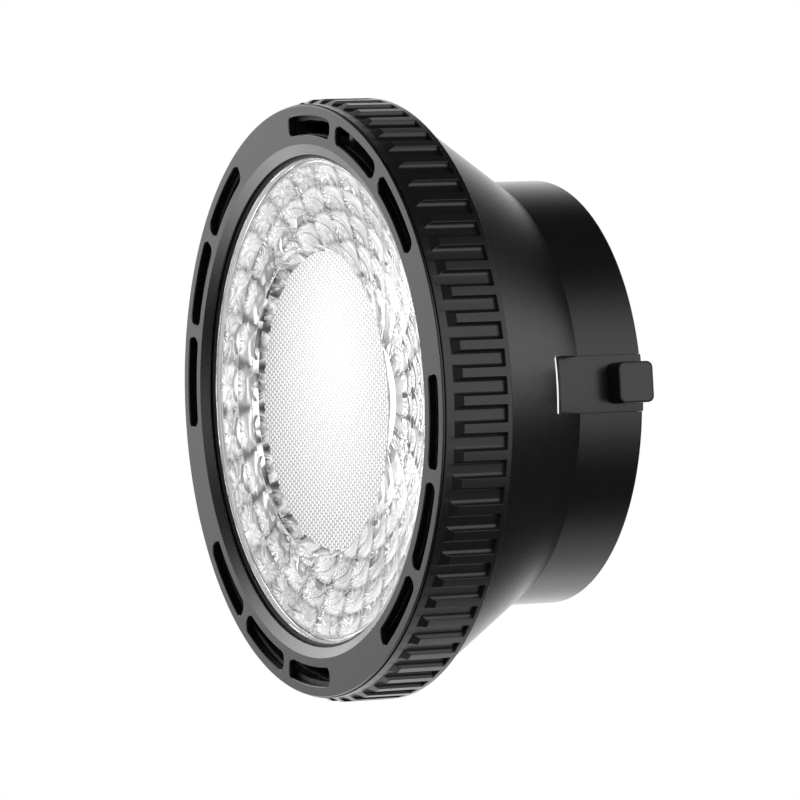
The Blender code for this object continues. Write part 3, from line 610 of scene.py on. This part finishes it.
def trough_cutter():
    """The trough between two ribs: a round-bottomed channel, open into the band in front."""
    floor_r = BAND_R - 0.02 * MM
    past_top = 0.5 * MM
    top_half = (RIB_R * PITCH - RIB_TOP) / 2
    floor_half = top_half - 0.38 * MM
    front, back = deep(1.6), RING_END - 0.95 * MM
    back_lean = 0.17
    clear_selection()
    bpy.ops.mesh.primitive_plane_add(size=1, location=((floor_r + RIB_R) / 2, front, 0),
                                     rotation=(pi / 2, 0, 0))
    cutter = named("trough")
    height = RIB_R - floor_r
    for vertex in cutter.data.vertices:
        upper = vertex.co.x > (floor_r + RIB_R) / 2
        vertex.co.x = RIB_R + past_top if upper else floor_r
        half = top_half + past_top * (top_half - floor_half) / height if upper else floor_half
        vertex.co.z = half if vertex.co.z > 0 else -half
    edit(cutter)
    bpy.ops.mesh.extrude_region()
    bpy.ops.transform.translate(value=(0, back - front, 0))
    close()
    heal(cutter)

    def long_floor_edge(edge):
        ends = [cutter.data.vertices[index].co for index in edge.vertices]
        return abs(ends[0].y - ends[1].y) > MM and ends[0].x < RIB_R - 0.3 * MM

    edit(cutter, "EDGE", long_floor_edge)
    bpy.ops.mesh.bevel(offset=0.52 * MM, segments=5, affect="EDGES")
    close()

    for vertex in cutter.data.vertices:
        if vertex.co.y > back - 0.1 * MM:
            vertex.co.y -= (RIB_R + past_top - vertex.co.x) * back_lean
    return cutter


def focus_ring():
    """One sector with its trough and rounded rib, spun round, then the cam grooves."""
    half = PITCH / 2
    rib_front = deep(3.7)
    frame_front, frame_back = deep(1.6), deep(4.8)
    outline = [
        (BAND_R - 0.1 * MM, deep(0.6)), (BAND_R, deep(0.7)), (BAND_R, deep(2.15)),
        (RIB_R, rib_front), (RIB_R, RING_END - 0.2 * MM), (RIB_R - 0.25 * MM, RING_END),
        (CAM_BORE_R, RING_END), (CAM_BORE_R, frame_back), (FRAME_BORE_R, frame_back),
        (FRAME_BORE_R, frame_front), (FRAME_BORE_R + 0.5 * MM, frame_front),
    ]
    clear_selection()
    bpy.ops.mesh.primitive_circle_add(vertices=len(outline), radius=1, fill_type="NGON")
    sector = named("focus_ring_grip")
    for vertex, (radius, y) in zip(sector.data.vertices, outline):
        vertex.co = (radius, y, 0)
    edit(sector)
    bpy.ops.mesh.spin(steps=4, angle=-PITCH, center=(0, 0, 0), axis=(0, 1, 0))
    close()
    turns = [atan2(v.co.z, v.co.x) for v in sector.data.vertices]
    turn(sector, -degrees(min(turns) + max(turns)) / 2)
    heal(sector)
    edit(sector)
    bpy.ops.mesh.bisect(plane_co=(0, RING_END - 0.55 * MM, 0), plane_no=(0, 1, 0))
    close()
    carve(sector, trough_cutter())

    def rib_edge(edge):
        ends = [sector.data.vertices[index].co for index in edge.vertices]
        middle = (ends[0] + ends[1]) / 2
        inside = all(abs(atan2(v.z, v.x)) < half - 0.0008 for v in ends)
        raised = hypot(middle.x, middle.z) > BAND_R + 0.25 * MM
        between = deep(2.3) < middle.y < RING_END - 0.5 * MM
        at_top = all(hypot(v.x, v.z) > RIB_R - 0.2 * MM or v.y < rib_front for v in ends)
        return inside and raised and between and at_top

    edit(sector, "EDGE", rib_edge)
    bpy.ops.mesh.bevel(offset=0.08 * MM, segments=4, affect="EDGES")
    close()

    def sector_side(face):
        outwards = Vector((face.center.x, 0, face.center.z)).normalized()
        at_side = abs(abs(atan2(face.center.z, face.center.x)) - half) < 0.0006
        return at_side and abs(face.normal.y) < 0.5 and abs(face.normal.dot(outwards)) < 0.2

    edit(sector, "FACE", sector_side)
    bpy.ops.mesh.delete(type="FACE")
    close()
    edit(sector)
    bpy.ops.mesh.spin(steps=RIB_COUNT - 1, dupli=True, angle=PITCH * (RIB_COUNT - 1),
                      center=(0, 0, 0), axis=(0, 1, 0))
    bpy.ops.mesh.select_all(action="SELECT")
    bpy.ops.mesh.remove_doubles(threshold=8e-6)
    bpy.ops.mesh.normals_make_consistent(inside=False)
    close()
    for first in CAM_STARTS:
        carve(sector, cam_groove(first))
    done(sector, RING, "focus_ring_body", "ring_black", "focus_ring", angle=24)


def cam_groove(first):
    """A helical groove in the ring's bore that a sleeve runs in."""
    half = 1.66 * MM
    low_r = CAM_BORE_R - 1.0 * MM
    extra = degrees(half / low_r)
    sweep = CAM_TURN + 2 * extra
    rise = CAM_TRAVEL * sweep / CAM_TURN
    y = deep(6.8) - CAM_TRAVEL * extra / CAM_TURN
    clear_selection()
    bpy.ops.mesh.primitive_plane_add(size=1, location=((low_r + CAM_FLOOR_R) / 2, y, 0),
                                     scale=(CAM_FLOOR_R - low_r, 2 * half, 1))
    groove = named("groove")
    for vertex in groove.data.vertices:
        vertex.co.x = CAM_FLOOR_R if vertex.co.x > (low_r + CAM_FLOOR_R) / 2 else low_r
        vertex.co.y = y + half if vertex.co.y > y else y - half
    edit(groove)
    bpy.ops.mesh.spin(steps=18, angle=radians(sweep), center=(0, 0, 0), axis=(0, -1, 0))
    close()
    spun = [atan2(v.co.z, v.co.x) for v in groove.data.vertices]
    way = 1 if sum(spun) > 0 else -1
    for vertex, angle in zip(groove.data.vertices, spun):
        vertex.co.y += rise * abs(angle) / radians(sweep)
        vertex.co.z *= way
    heal(groove)
    return turn(groove, first - extra)


# The cone and barrel.

CONE_FRONT, CONE_END = deep(13.65), deep(35)
CONE_END_R = BARREL_R + 0.35 * MM
CONE_SLOPE = (CONE_R - CONE_END_R) / (CONE_END - CONE_FRONT)


def cone_r(y):
    """The cone's outer radius at this place along the axis."""
    return CONE_R - CONE_SLOPE * (y - CONE_FRONT)


def housing():
    """The cone and barrel in one shell, with the slot that the latch pad slides in."""
    wall = 1.8 * MM * sqrt(1 + CONE_SLOPE ** 2)
    bore_r = 37.0 * MM
    shelf_r = 33.0 * MM
    shelf_front, shelf_back = deep(31.7), deep(33.7)
    seat_r, seat_back = 52.7 * MM, deep(14.75)
    outline = [
        (CONE_R, CONE_FRONT), (CONE_END_R, CONE_END), (BARREL_R, CONE_END),
        (BARREL_R, -0.4 * MM), (BARREL_R - 0.4 * MM, 0.0), (bore_r + 0.2 * MM, 0.0),
        (bore_r, -0.2 * MM), (bore_r, shelf_back), (shelf_r, shelf_back),
        (shelf_r, shelf_front), (cone_r(shelf_front) - wall, shelf_front),
        (cone_r(seat_back) - wall, seat_back), (seat_r, seat_back), (seat_r, CONE_FRONT),
    ]
    shell = turned("cone_shell", outline, 192, 0.12 * MM, 3)
    half = PAD_HALF + 0.04 * MM
    slot = box("latch_slot", (20 * MM, PAD_FRONT - 3.3 * MM, -half), (60 * MM, 2 * MM, half))

    def inner_corner(edge):
        ends = [slot.data.vertices[index].co for index in edge.vertices]
        return abs(ends[0].x - ends[1].x) > MM and ends[0].y < -5 * MM

    edit(slot, "EDGE", inner_corner)
    bpy.ops.mesh.bevel(offset=0.35 * MM, segments=4, affect="EDGES")
    close()
    carve(shell, slot)
    done(shell, SATIN, "housing", "satin_black", "cone_housing")


# The latch: a curved pad flush with the barrel, its square knob, tooth and guide.

def latch():
    """The pad and the slide under it, then the button that seats on the pad."""
    under_r = BARREL_R - 2.05 * MM
    front = PAD_FRONT + 0.25 * MM
    pad = box("latch_pad", (under_r, front, -PAD_HALF), (BARREL_R, 0, PAD_HALF))
    edit(pad)
    for step in range(-11, 12):
        bpy.ops.mesh.select_all(action="SELECT")
        bpy.ops.mesh.bisect(plane_co=(0, 0, step * PAD_HALF / 12), plane_no=(0, 0, 1))
    close()
    for vertex in pad.data.vertices:
        vertex.co.x = sqrt(vertex.co.x ** 2 - vertex.co.z ** 2)
    lip_r = BARREL_R - 0.4 * MM
    undercut = box("undercut", (30 * MM, front - 2 * MM, -6 * MM), (lip_r, front, 6 * MM))
    for vertex in undercut.data.vertices:
        if vertex.co.y > front - MM and vertex.co.x < 35 * MM:
            vertex.co.y += (lip_r - vertex.co.x) * 0.62
    carve(pad, undercut)
    soften(pad, 0.05 * MM, 2, 40)
    base = refined("latch_plate", "latch_slide_base", 0)
    keep = box("keep", (30 * MM, PAD_FRONT + 3 * MM, -20 * MM),
               (under_r + 0.02 * MM, 5 * MM, 20 * MM))
    carve(base, keep, operation="INTERSECT")
    soften(base, 0.08 * MM, 2, 40)
    done(pad, SATIN, "latch", "satin_black", "latch_plate")
    done(base, DARK, "latch", "satin_black")

    low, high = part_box("latch_knob")
    knob = box("latch_button", (BARREL_R - 0.3 * MM, low.y, low.z), high)

    def upright(edge):
        ends = [knob.data.vertices[index].co for index in edge.vertices]
        return abs(ends[0].x - ends[1].x) > MM

    edit(knob, "EDGE", upright)
    bpy.ops.mesh.bevel(offset=1.2 * MM, segments=8, affect="EDGES")
    close()

    edit(knob, "FACE", lambda face: face.normal.x > 0.9)
    bpy.ops.mesh.inset(thickness=0.30 * MM, depth=0)
    bpy.ops.mesh.inset(thickness=0.06 * MM, depth=0)
    bpy.ops.transform.translate(value=(-0.05 * MM, 0, 0))
    close()
    seat = rod("seat", BARREL_R + 0.03 * MM, (0, -20 * MM, 0), (0, 10 * MM, 0), 192)
    carve(knob, seat)
    soften(knob, 0.28 * MM, 3, 70)
    done(knob, SATIN, "latch", "satin_black", "latch_knob")


def inner_latch():
    """The rail that the latch runs in and the catch that locks the light."""
    done(refined("latch_guide", "latch_guide_rail", 0.1 * MM), DARK, "housing", "dark_polymer",
         "latch_guide")
    done(refined("latch_tooth", "latch_catch", 0.12 * MM), STEEL, "latch", "steel", "latch_tooth")


# The bayonet inside the barrel.

def bayonet():
    """The ring with the lugs."""
    ring = refined("bayonet_ring", "bayonet_collar", 0.12 * MM, 2, 35)
    done(ring, METAL, "housing", "black_metal", "bayonet_ring")


def screw(name, head_r, shank_r, head, length):
    """A pan-head screw along +Y with its head's top at the origin and a hexagon socket."""
    centre = 0.03 * MM
    outline = [
        (centre, 0.0), (head_r * 0.55, 0.0), (head_r * 0.85, head * 0.18), (head_r, head * 0.5),
        (head_r, head), (shank_r, head), (shank_r, length - shank_r), (centre, length),
    ]
    body = turned(name, outline, 32)
    edit(body)
    bpy.ops.mesh.remove_doubles(threshold=0.07 * MM)
    bpy.ops.mesh.normals_make_consistent(inside=False)
    close()
    carve(body, rod("socket", head_r * 0.5, (0, -head, 0), (0, head * 0.55, 0), 6))
    return body


def screws():
    """Every visible screw, each a copy of the first one of its size."""
    small_length = 3.6 * MM
    small = screw("small_screw", 0.95 * MM, 0.6 * MM, 0.7 * MM, small_length)
    large = screw("large_screw", 1.2 * MM, 0.7 * MM, 0.8 * MM, 6.0 * MM)
    for kind, count, stem in (("frame", 4, large), ("bayonet", 4, small), ("guide", 2, small)):
        for index in range(1, count + 1):
            cad = f"{kind}_screw_{index}"
            low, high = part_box(cad)
            middle = (low + high) / 2
            piece = copied(stem, f"{kind}_pan_screw_{index}")
            if kind == "frame":
                move = Matrix.Translation((middle.x, low.y, middle.z))
            elif kind == "bayonet":
                move = Matrix.Translation((middle.x, high.y, middle.z)) @ Matrix.Rotation(pi, 4, "Z")
            else:
                angle = degrees(atan2(middle.z, middle.x))
                head_at = 32.0 * MM
                aim = polar(1, angle).to_track_quat("Y", "Z").to_matrix().to_4x4()
                tip_at = hypot(high.x, max(abs(high.z), abs(low.z)))
                stretch = min(1.9, (tip_at - head_at) * 0.97 / small_length)
                move = (Matrix.Translation(polar(head_at, angle, middle.y)) @ aim
                        @ Matrix.Diagonal((1, stretch, 1, 1)))
            piece.data.transform(move)
            done(piece, STEEL, "housing", "steel", cad)
    for spare in (small, large):
        bpy.data.objects.remove(spare, do_unlink=True)


# The lens and what holds it.

def lens_carrier():
    """The sleeve that holds the lens, with its front lip and the holes of the cam pins."""
    lip_r = 44.3 * MM
    low, high = CARRIER_LOW, CARRIER_HIGH
    lip_back = low.y + 0.6 * MM
    bore_r = LENS_R + GAP
    outline = [
        (lip_r, low.y), (high.z, low.y), (high.z, high.y), (bore_r, high.y), (bore_r, lip_back),
        (lip_r, lip_back),
    ]
    carrier = turned("lens_sleeve", outline, FINE, 0.08 * MM)
    pin_y = deep(6.8)
    holes = [rod("hole", 0.85 * MM, polar(44 * MM, angle, pin_y), polar(48 * MM, angle, pin_y))
             for angle in CAM_STARTS]
    carve(carrier, *holes)
    done(carrier, DARK, "carrier", "dark_polymer", "lens_carrier")


# Each ejector mark's radius in millimetres and its angle in degrees.
EJECTOR_MARKS = ((40.0, 160), (41.2, 121), (42.2, 82), (42.2, -127), (42.2, -89))
FACET_COLUMNS = 28
COLUMN_STEPS = 6
FACET_ROWS = (0.0, 0.17, 0.36, 0.57, 0.78, 1.0)
ROW_STEPS = 5


def flank_point(share):
    """Radius and station of the reflecting flank, from the flange to the tail."""
    start, end = deep(FLANGE_BACK), LENS_HIGH.y
    radius = TAIL_R + (HEAD_R - TAIL_R) * (1 - share) ** FLANK_POWER
    return radius, start + (end - start) * share


def lens():
    """The clear lens: flat front, well, stepped flange, and rows of pillow facets behind."""
    front, front_r = LENS_LOW.y, 44.0 * MM
    well_back = WELL_FLOOR + 0.25 * MM
    flange_front, flange_back = deep(2.5), deep(FLANGE_BACK)
    bead_back = deep(FLANGE_BACK + 0.25)
    outline = [
        (WELL_R, well_back), (27.3 * MM, WELL_FLOOR + 0.05 * MM),
        (28.35 * MM, front + 0.1 * MM), (28.5 * MM, front), (front_r - 0.1 * MM, front),
        (front_r, front + 0.1 * MM), (front_r, flange_front), (LENS_R, flange_front),
        (LENS_R, flange_back), (43.95 * MM, flange_back), (43.75 * MM, bead_back),
        (43.5 * MM, bead_back), (43.3 * MM, flange_back),
    ]
    for row in range(len(FACET_ROWS) - 1):
        first, last = FACET_ROWS[row], FACET_ROWS[row + 1]
        for step in range(ROW_STEPS):
            outline.append(flank_point(first + (last - first) * step / ROW_STEPS))
    outline.append(flank_point(1.0))
    tail = LENS_HIGH.y
    outline += [
        (10.3 * MM, tail), (10.0 * MM, tail - 0.3 * MM), (9.2 * MM, tail - 10.3 * MM),
        (6.0 * MM, tail - 8.9 * MM), (3.0 * MM, tail - 8.4 * MM), (0.05 * MM, tail - 8.3 * MM),
    ]
    steps = FACET_COLUMNS * COLUMN_STEPS
    body = turned("lens_body", outline, steps, ring=False)
    edit(body, "VERT", lambda v: hypot(v.co.x, v.co.z) < 0.1 * MM)
    bpy.ops.mesh.merge(type="CENTER")
    close()
    edit(body, "VERT", lambda v: abs(v.co.y - well_back) < 0.01 * MM
         and abs(hypot(v.co.x, v.co.z) - WELL_R) < 0.05 * MM)
    bpy.ops.mesh.edge_face_add()
    close()
    heal(body)
    pillow(body)
    marks = [rod("mark", 1.15 * MM, polar(radius * MM, angle, front - MM),
                 polar(radius * MM, angle, front + 0.15 * MM), 24)
             for radius, angle in EJECTOR_MARKS]
    carve(body, joined("marks", marks))
    body.data.materials.clear()
    for material in (CLEAR, FACET_PAINTED_LIGHT, RIM_PAINTED_LIGHT):
        body.data.materials.append(material)
    # The flange's back gets a dim painted glow, the flank the facets' painted glow with painted
    # shade in the valleys, and the rest stays clear.
    for face in body.data.polygons:
        radius = hypot(face.center.x, face.center.z)
        if radius > HEAD_R + 0.05 * MM and abs(face.center.y - flange_back) < 0.01 * MM:
            face.material_index = 2
        elif face.center.y > flange_back - 0.05 * MM and radius > TAIL_R - 0.2 * MM:
            face.material_index = 1
        else:
            face.material_index = 0
    smooth(body, 9)
    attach(body, "carrier")
    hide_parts("tir_lens")


def facet_place(co):
    """How far across its column and along its row a point of the flank is, and which facet."""
    radius = hypot(co.x, co.z)
    share = 1 - max(0.0, (radius - TAIL_R) / (HEAD_R - TAIL_R)) ** (1 / FLANK_POWER)
    share = min(max(share, 0.0), 0.9999)
    column = atan2(co.z, co.x) / (tau / FACET_COLUMNS)
    row = max(index for index, start in enumerate(FACET_ROWS[:-1]) if share >= start - 1e-4)
    along = (share - FACET_ROWS[row]) / (FACET_ROWS[row + 1] - FACET_ROWS[row])
    return column % 1.0, min(max(along, 0.0), 1.0), int(column // 1), row


def on_flank(co):
    """Whether a point is on the reflecting flank."""
    return co.y > deep(FLANGE_BACK) - 0.05 * MM and hypot(co.x, co.z) > TAIL_R - 0.05 * MM


def pillow(body):
    """Swells each facet between its valleys, and stores how far and a tone for each facet."""
    height = 0.75 * MM
    mesh = body.data
    swells = {}
    for vertex in mesh.vertices:
        if not on_flank(vertex.co):
            continue
        across, along, _, _ = facet_place(vertex.co)
        swell = (1 - (2 * across - 1) ** 2) * (1 - (2 * along - 1) ** 2)
        if swell > 0.02:
            swells[vertex.index] = round(swell, 2)
    # The swell, along and tone stored here steer the facets' painted glow and painted valley shade.
    tones = [0.0] * len(mesh.polygons)
    for face in mesh.polygons:
        _, _, column, row = facet_place(face.center)
        tones[face.index] = (sin(column * 12.9898 + row * 78.233) * 43758.5453) % 1.0
    tone = mesh.attributes.new("tone", "FLOAT", "FACE")
    tone.data.foreach_set("value", tones)
    places = [facet_place(v.co)[1] if on_flank(v.co) else 0.0 for v in mesh.vertices]
    along_row = mesh.attributes.new("along", "FLOAT", "POINT")
    along_row.data.foreach_set("value", places)
    stored = mesh.attributes.new("swell", "FLOAT", "POINT")
    stored.data.foreach_set("value", [swells.get(v.index, 0.0) for v in mesh.vertices])
    for level in sorted(set(swells.values())):
        members = {index for index, value in swells.items() if value == level}
        size = {index: min(1.0, hypot(*mesh.vertices[index].co.xz) / (36 * MM))
                for index in members}
        edit(body, "VERT", lambda v: v.index in members)
        share = sum(size.values()) / len(size)
        bpy.ops.transform.shrink_fatten(value=height * level * share)
        close()


def lenslets():
    """The disc of small domed lenses in the well, laid as a honeycomb."""
    pitch = 1.05 * MM
    disc_r = 27.25 * MM
    clear_selection()
    bpy.ops.mesh.primitive_circle_add(vertices=6, radius=pitch / sqrt(3), fill_type="NGON",
                                      location=(0, WELL_FLOOR, 0), rotation=(pi / 2, 0, 0))
    cell = named("lenslet")
    edit(cell, "FACE")
    for thickness, rise in ((0.17, 0.12), (0.14, 0.06)):
        bpy.ops.mesh.inset(thickness=thickness * MM, depth=0)
        bpy.ops.transform.translate(value=(0, -rise * MM, 0))
    bpy.ops.mesh.poke()
    close()
    edit(cell, "VERT", lambda v: hypot(v.co.x, v.co.z) < 0.01 * MM)
    bpy.ops.transform.translate(value=(0, -0.02 * MM, 0))
    close()
    row_step = pitch * sqrt(3) / 2
    across = 2 * int(disc_r / pitch) + 4
    doubled_rows = int(disc_r / row_step) + 2
    even = array_of(cell, across, (0, 0, pitch))
    odd = copied(even, "odd_row")
    odd.data.transform(Matrix.Translation((row_step, 0, pitch / 2)))
    disc = array_of(joined("lens_lenslets", [even, odd]), doubled_rows, (2 * row_step, 0, 0))
    disc.data.name = "lens_lenslets"
    middle = Vector((doubled_rows // 2 * 2 * row_step, 0, across // 2 * pitch))
    disc.data.transform(Matrix.Translation(-middle))
    heal(disc)
    edit(disc, "FACE", lambda f: hypot(f.center.x, f.center.z) > disc_r)
    bpy.ops.mesh.delete(type="FACE")
    close()
    for vertex in disc.data.vertices:
        radius = hypot(vertex.co.x, vertex.co.z)
        if radius > disc_r:
            vertex.co.x *= disc_r / radius
            vertex.co.z *= disc_r / radius
    heal(disc)
    edit(disc)
    bpy.ops.mesh.select_all(action="DESELECT")
    bpy.ops.mesh.select_non_manifold()
    bpy.ops.mesh.extrude_region()
    bpy.ops.transform.translate(value=(0, 0.2 * MM, 0))
    bpy.ops.mesh.edge_face_add()
    close()
    heal(disc)
    disc.data.materials.clear()
    disc.data.materials.append(DISC_PAINTED_LIGHT)
    disc.data.materials.append(VALLEY_PAINTED_SHADE)
    # Faces reaching down between the lenslets get the dimmer painted glow, painted shade in the
    # grooves.
    for face in disc.data.polygons:
        valley = any(disc.data.vertices[i].co.y > WELL_FLOOR - 0.01 * MM for i in face.vertices)
        face.material_index = 1 if valley else 0
    smooth(disc, 60)
    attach(disc, "carrier")


def plain_nodes():
    """CAD nodes whose shape is right get their finish."""
    finishes = {
        DARK: ("front_frame", "guide_tube", "lens_retainer"),
        STEEL: ("drag_washer", "latch_screw", "latch_spring", "cam_pin_1", "cam_pin_2", "cam_pin_3"),
        SLIP: ("slip_washer", "cam_sleeve_1", "cam_sleeve_2", "cam_sleeve_3"),
        RUBBER: ("lens_gasket",),
    }
    for material, names in finishes.items():
        for name in names:
            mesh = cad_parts[name].data
            mesh.materials.clear()
            mesh.materials.append(material)


# Studio: camera, soft lights in white surroundings, and a pale floor.

AIM = Vector((7.39 * MM, -33.16 * MM, -0.62 * MM))
CAMERA_AZIMUTH = 63.471
CAMERA_ELEVATION = -1.297
CAMERA_ROLL = -2.986
CAMERA_DISTANCE = 1.27116
FOCAL_LENGTH = 314.28
FLOOR_Z = -0.30


def direction(azimuth, elevation):
    """The way from the object towards this azimuth and elevation, in degrees."""
    a, e = radians(azimuth), radians(elevation)
    return Vector((sin(a) * cos(e), -cos(a) * cos(e), sin(e)))


def camera():
    """A long lens in front of the object, on the latch's side, rolled a little."""
    back = direction(CAMERA_AZIMUTH, CAMERA_ELEVATION)
    right = back.cross(Vector((0, 0, -1))).normalized()
    up = back.cross(right)
    roll = radians(CAMERA_ROLL)
    tilted = cos(roll) * right + sin(roll) * up
    data = bpy.data.cameras.new("camera")
    data.lens = FOCAL_LENGTH
    data.sensor_width = 36.0
    data.clip_start = 0.01
    obj = bpy.data.objects.new("camera", data)
    bpy.context.scene.collection.objects.link(obj)
    turn_matrix = Matrix((tilted, back.cross(tilted), back)).transposed().to_4x4()
    obj.matrix_world = Matrix.Translation(AIM + back * CAMERA_DISTANCE) @ turn_matrix
    bpy.context.scene.camera = obj


# Each light as seen from the object, in degrees: its azimuth and elevation, how far it reaches
# sideways and upwards, and how bright it is.
LIGHTS = (
    (108, 8, 34, 32, 1.65),
    (-173, 6.5, 22, 8, 1.1),
    (-100, -8, 37, 50, 1.7),
    (-62, 22, 30, 19, 1.9),
    (-150, -54, 46, 14, 1.1),
    (-50, -28, 26, 12, 4.2),
    (-50, 29, 22, 10, 2.6),
    (-8, 3, 9, 9, 1.6),
    (26, 0, 13, 34, 1.3),
)


def lights(tree):
    """How bright the room is in each direction: soft flat-topped lights over a dim base."""
    parts = tree.nodes.new("ShaderNodeSeparateXYZ")
    place = tree.nodes.new("ShaderNodeTexCoord")
    tree.links.new(place.outputs["Generated"], parts.inputs[0])
    x, y, z = (Value(tree, output) for output in parts.outputs)
    azimuth = x.math("ARCTAN2", 0 - y)
    elevation = z.math("ARCSINE")
    total = 0.02
    for light_azimuth, light_elevation, wide, high, radiance in LIGHTS:
        across = (azimuth - radians(light_azimuth)).math("WRAP", pi, -pi) / radians(wide)
        along = (elevation - radians(light_elevation)) / radians(high)
        fall = across.math("ABSOLUTE") ** 4.0 + along.math("ABSOLUTE") ** 4.0
        total = total + (fall * -1.0).math("EXPONENT") * radiance
    return total


def studio():
    """White behind everything, lights for what they fall on, and the floor."""
    world = bpy.data.worlds.new("studio")
    bpy.context.scene.world = world
    world.use_nodes = True
    tree = world.node_tree
    tree.nodes.clear()
    white = node(tree, "ShaderNodeBackground", {}, {"Color": grey(1.0), "Strength": 1.0})
    lit = node(tree, "ShaderNodeBackground", {}, {"Color": grey(1.0), "Strength": lights(tree)})
    seen = node(tree, "ShaderNodeLightPath", {}, {}, "Is Camera Ray")
    mixed = node(tree, "ShaderNodeMixShader", {}, {0: seen, 1: lit, 2: white})
    output = tree.nodes.new("ShaderNodeOutputWorld")
    tree.links.new(mixed.socket, output.inputs["Surface"])
    floor_material, floor_tree, shader = new_material("studio_floor", Roughness=0.8,
                                                      Emission_Color=grey(1.0),
                                                      Emission_Strength=0.35)
    cloud = noise(floor_tree, 3.0)
    plug(floor_tree, blend(floor_tree, cloud, grey(0.86), grey(0.90)), shader, "Base Color")
    clear_selection()
    bpy.ops.mesh.primitive_plane_add(size=3.2, location=(0, 0, FLOOR_Z))
    floor = named("floor")
    floor.data.materials.append(floor_material)
    floor.visible_diffuse = False
    floor.visible_glossy = False
    floor.visible_transmission = False
    floor.visible_shadow = False
    bpy.context.scene.view_settings.view_transform = "Standard"


front_bezel()
focus_ring()
housing()
latch()
inner_latch()
bayonet()
screws()
lens_carrier()
lens()
lenslets()
plain_nodes()
camera()
studio()
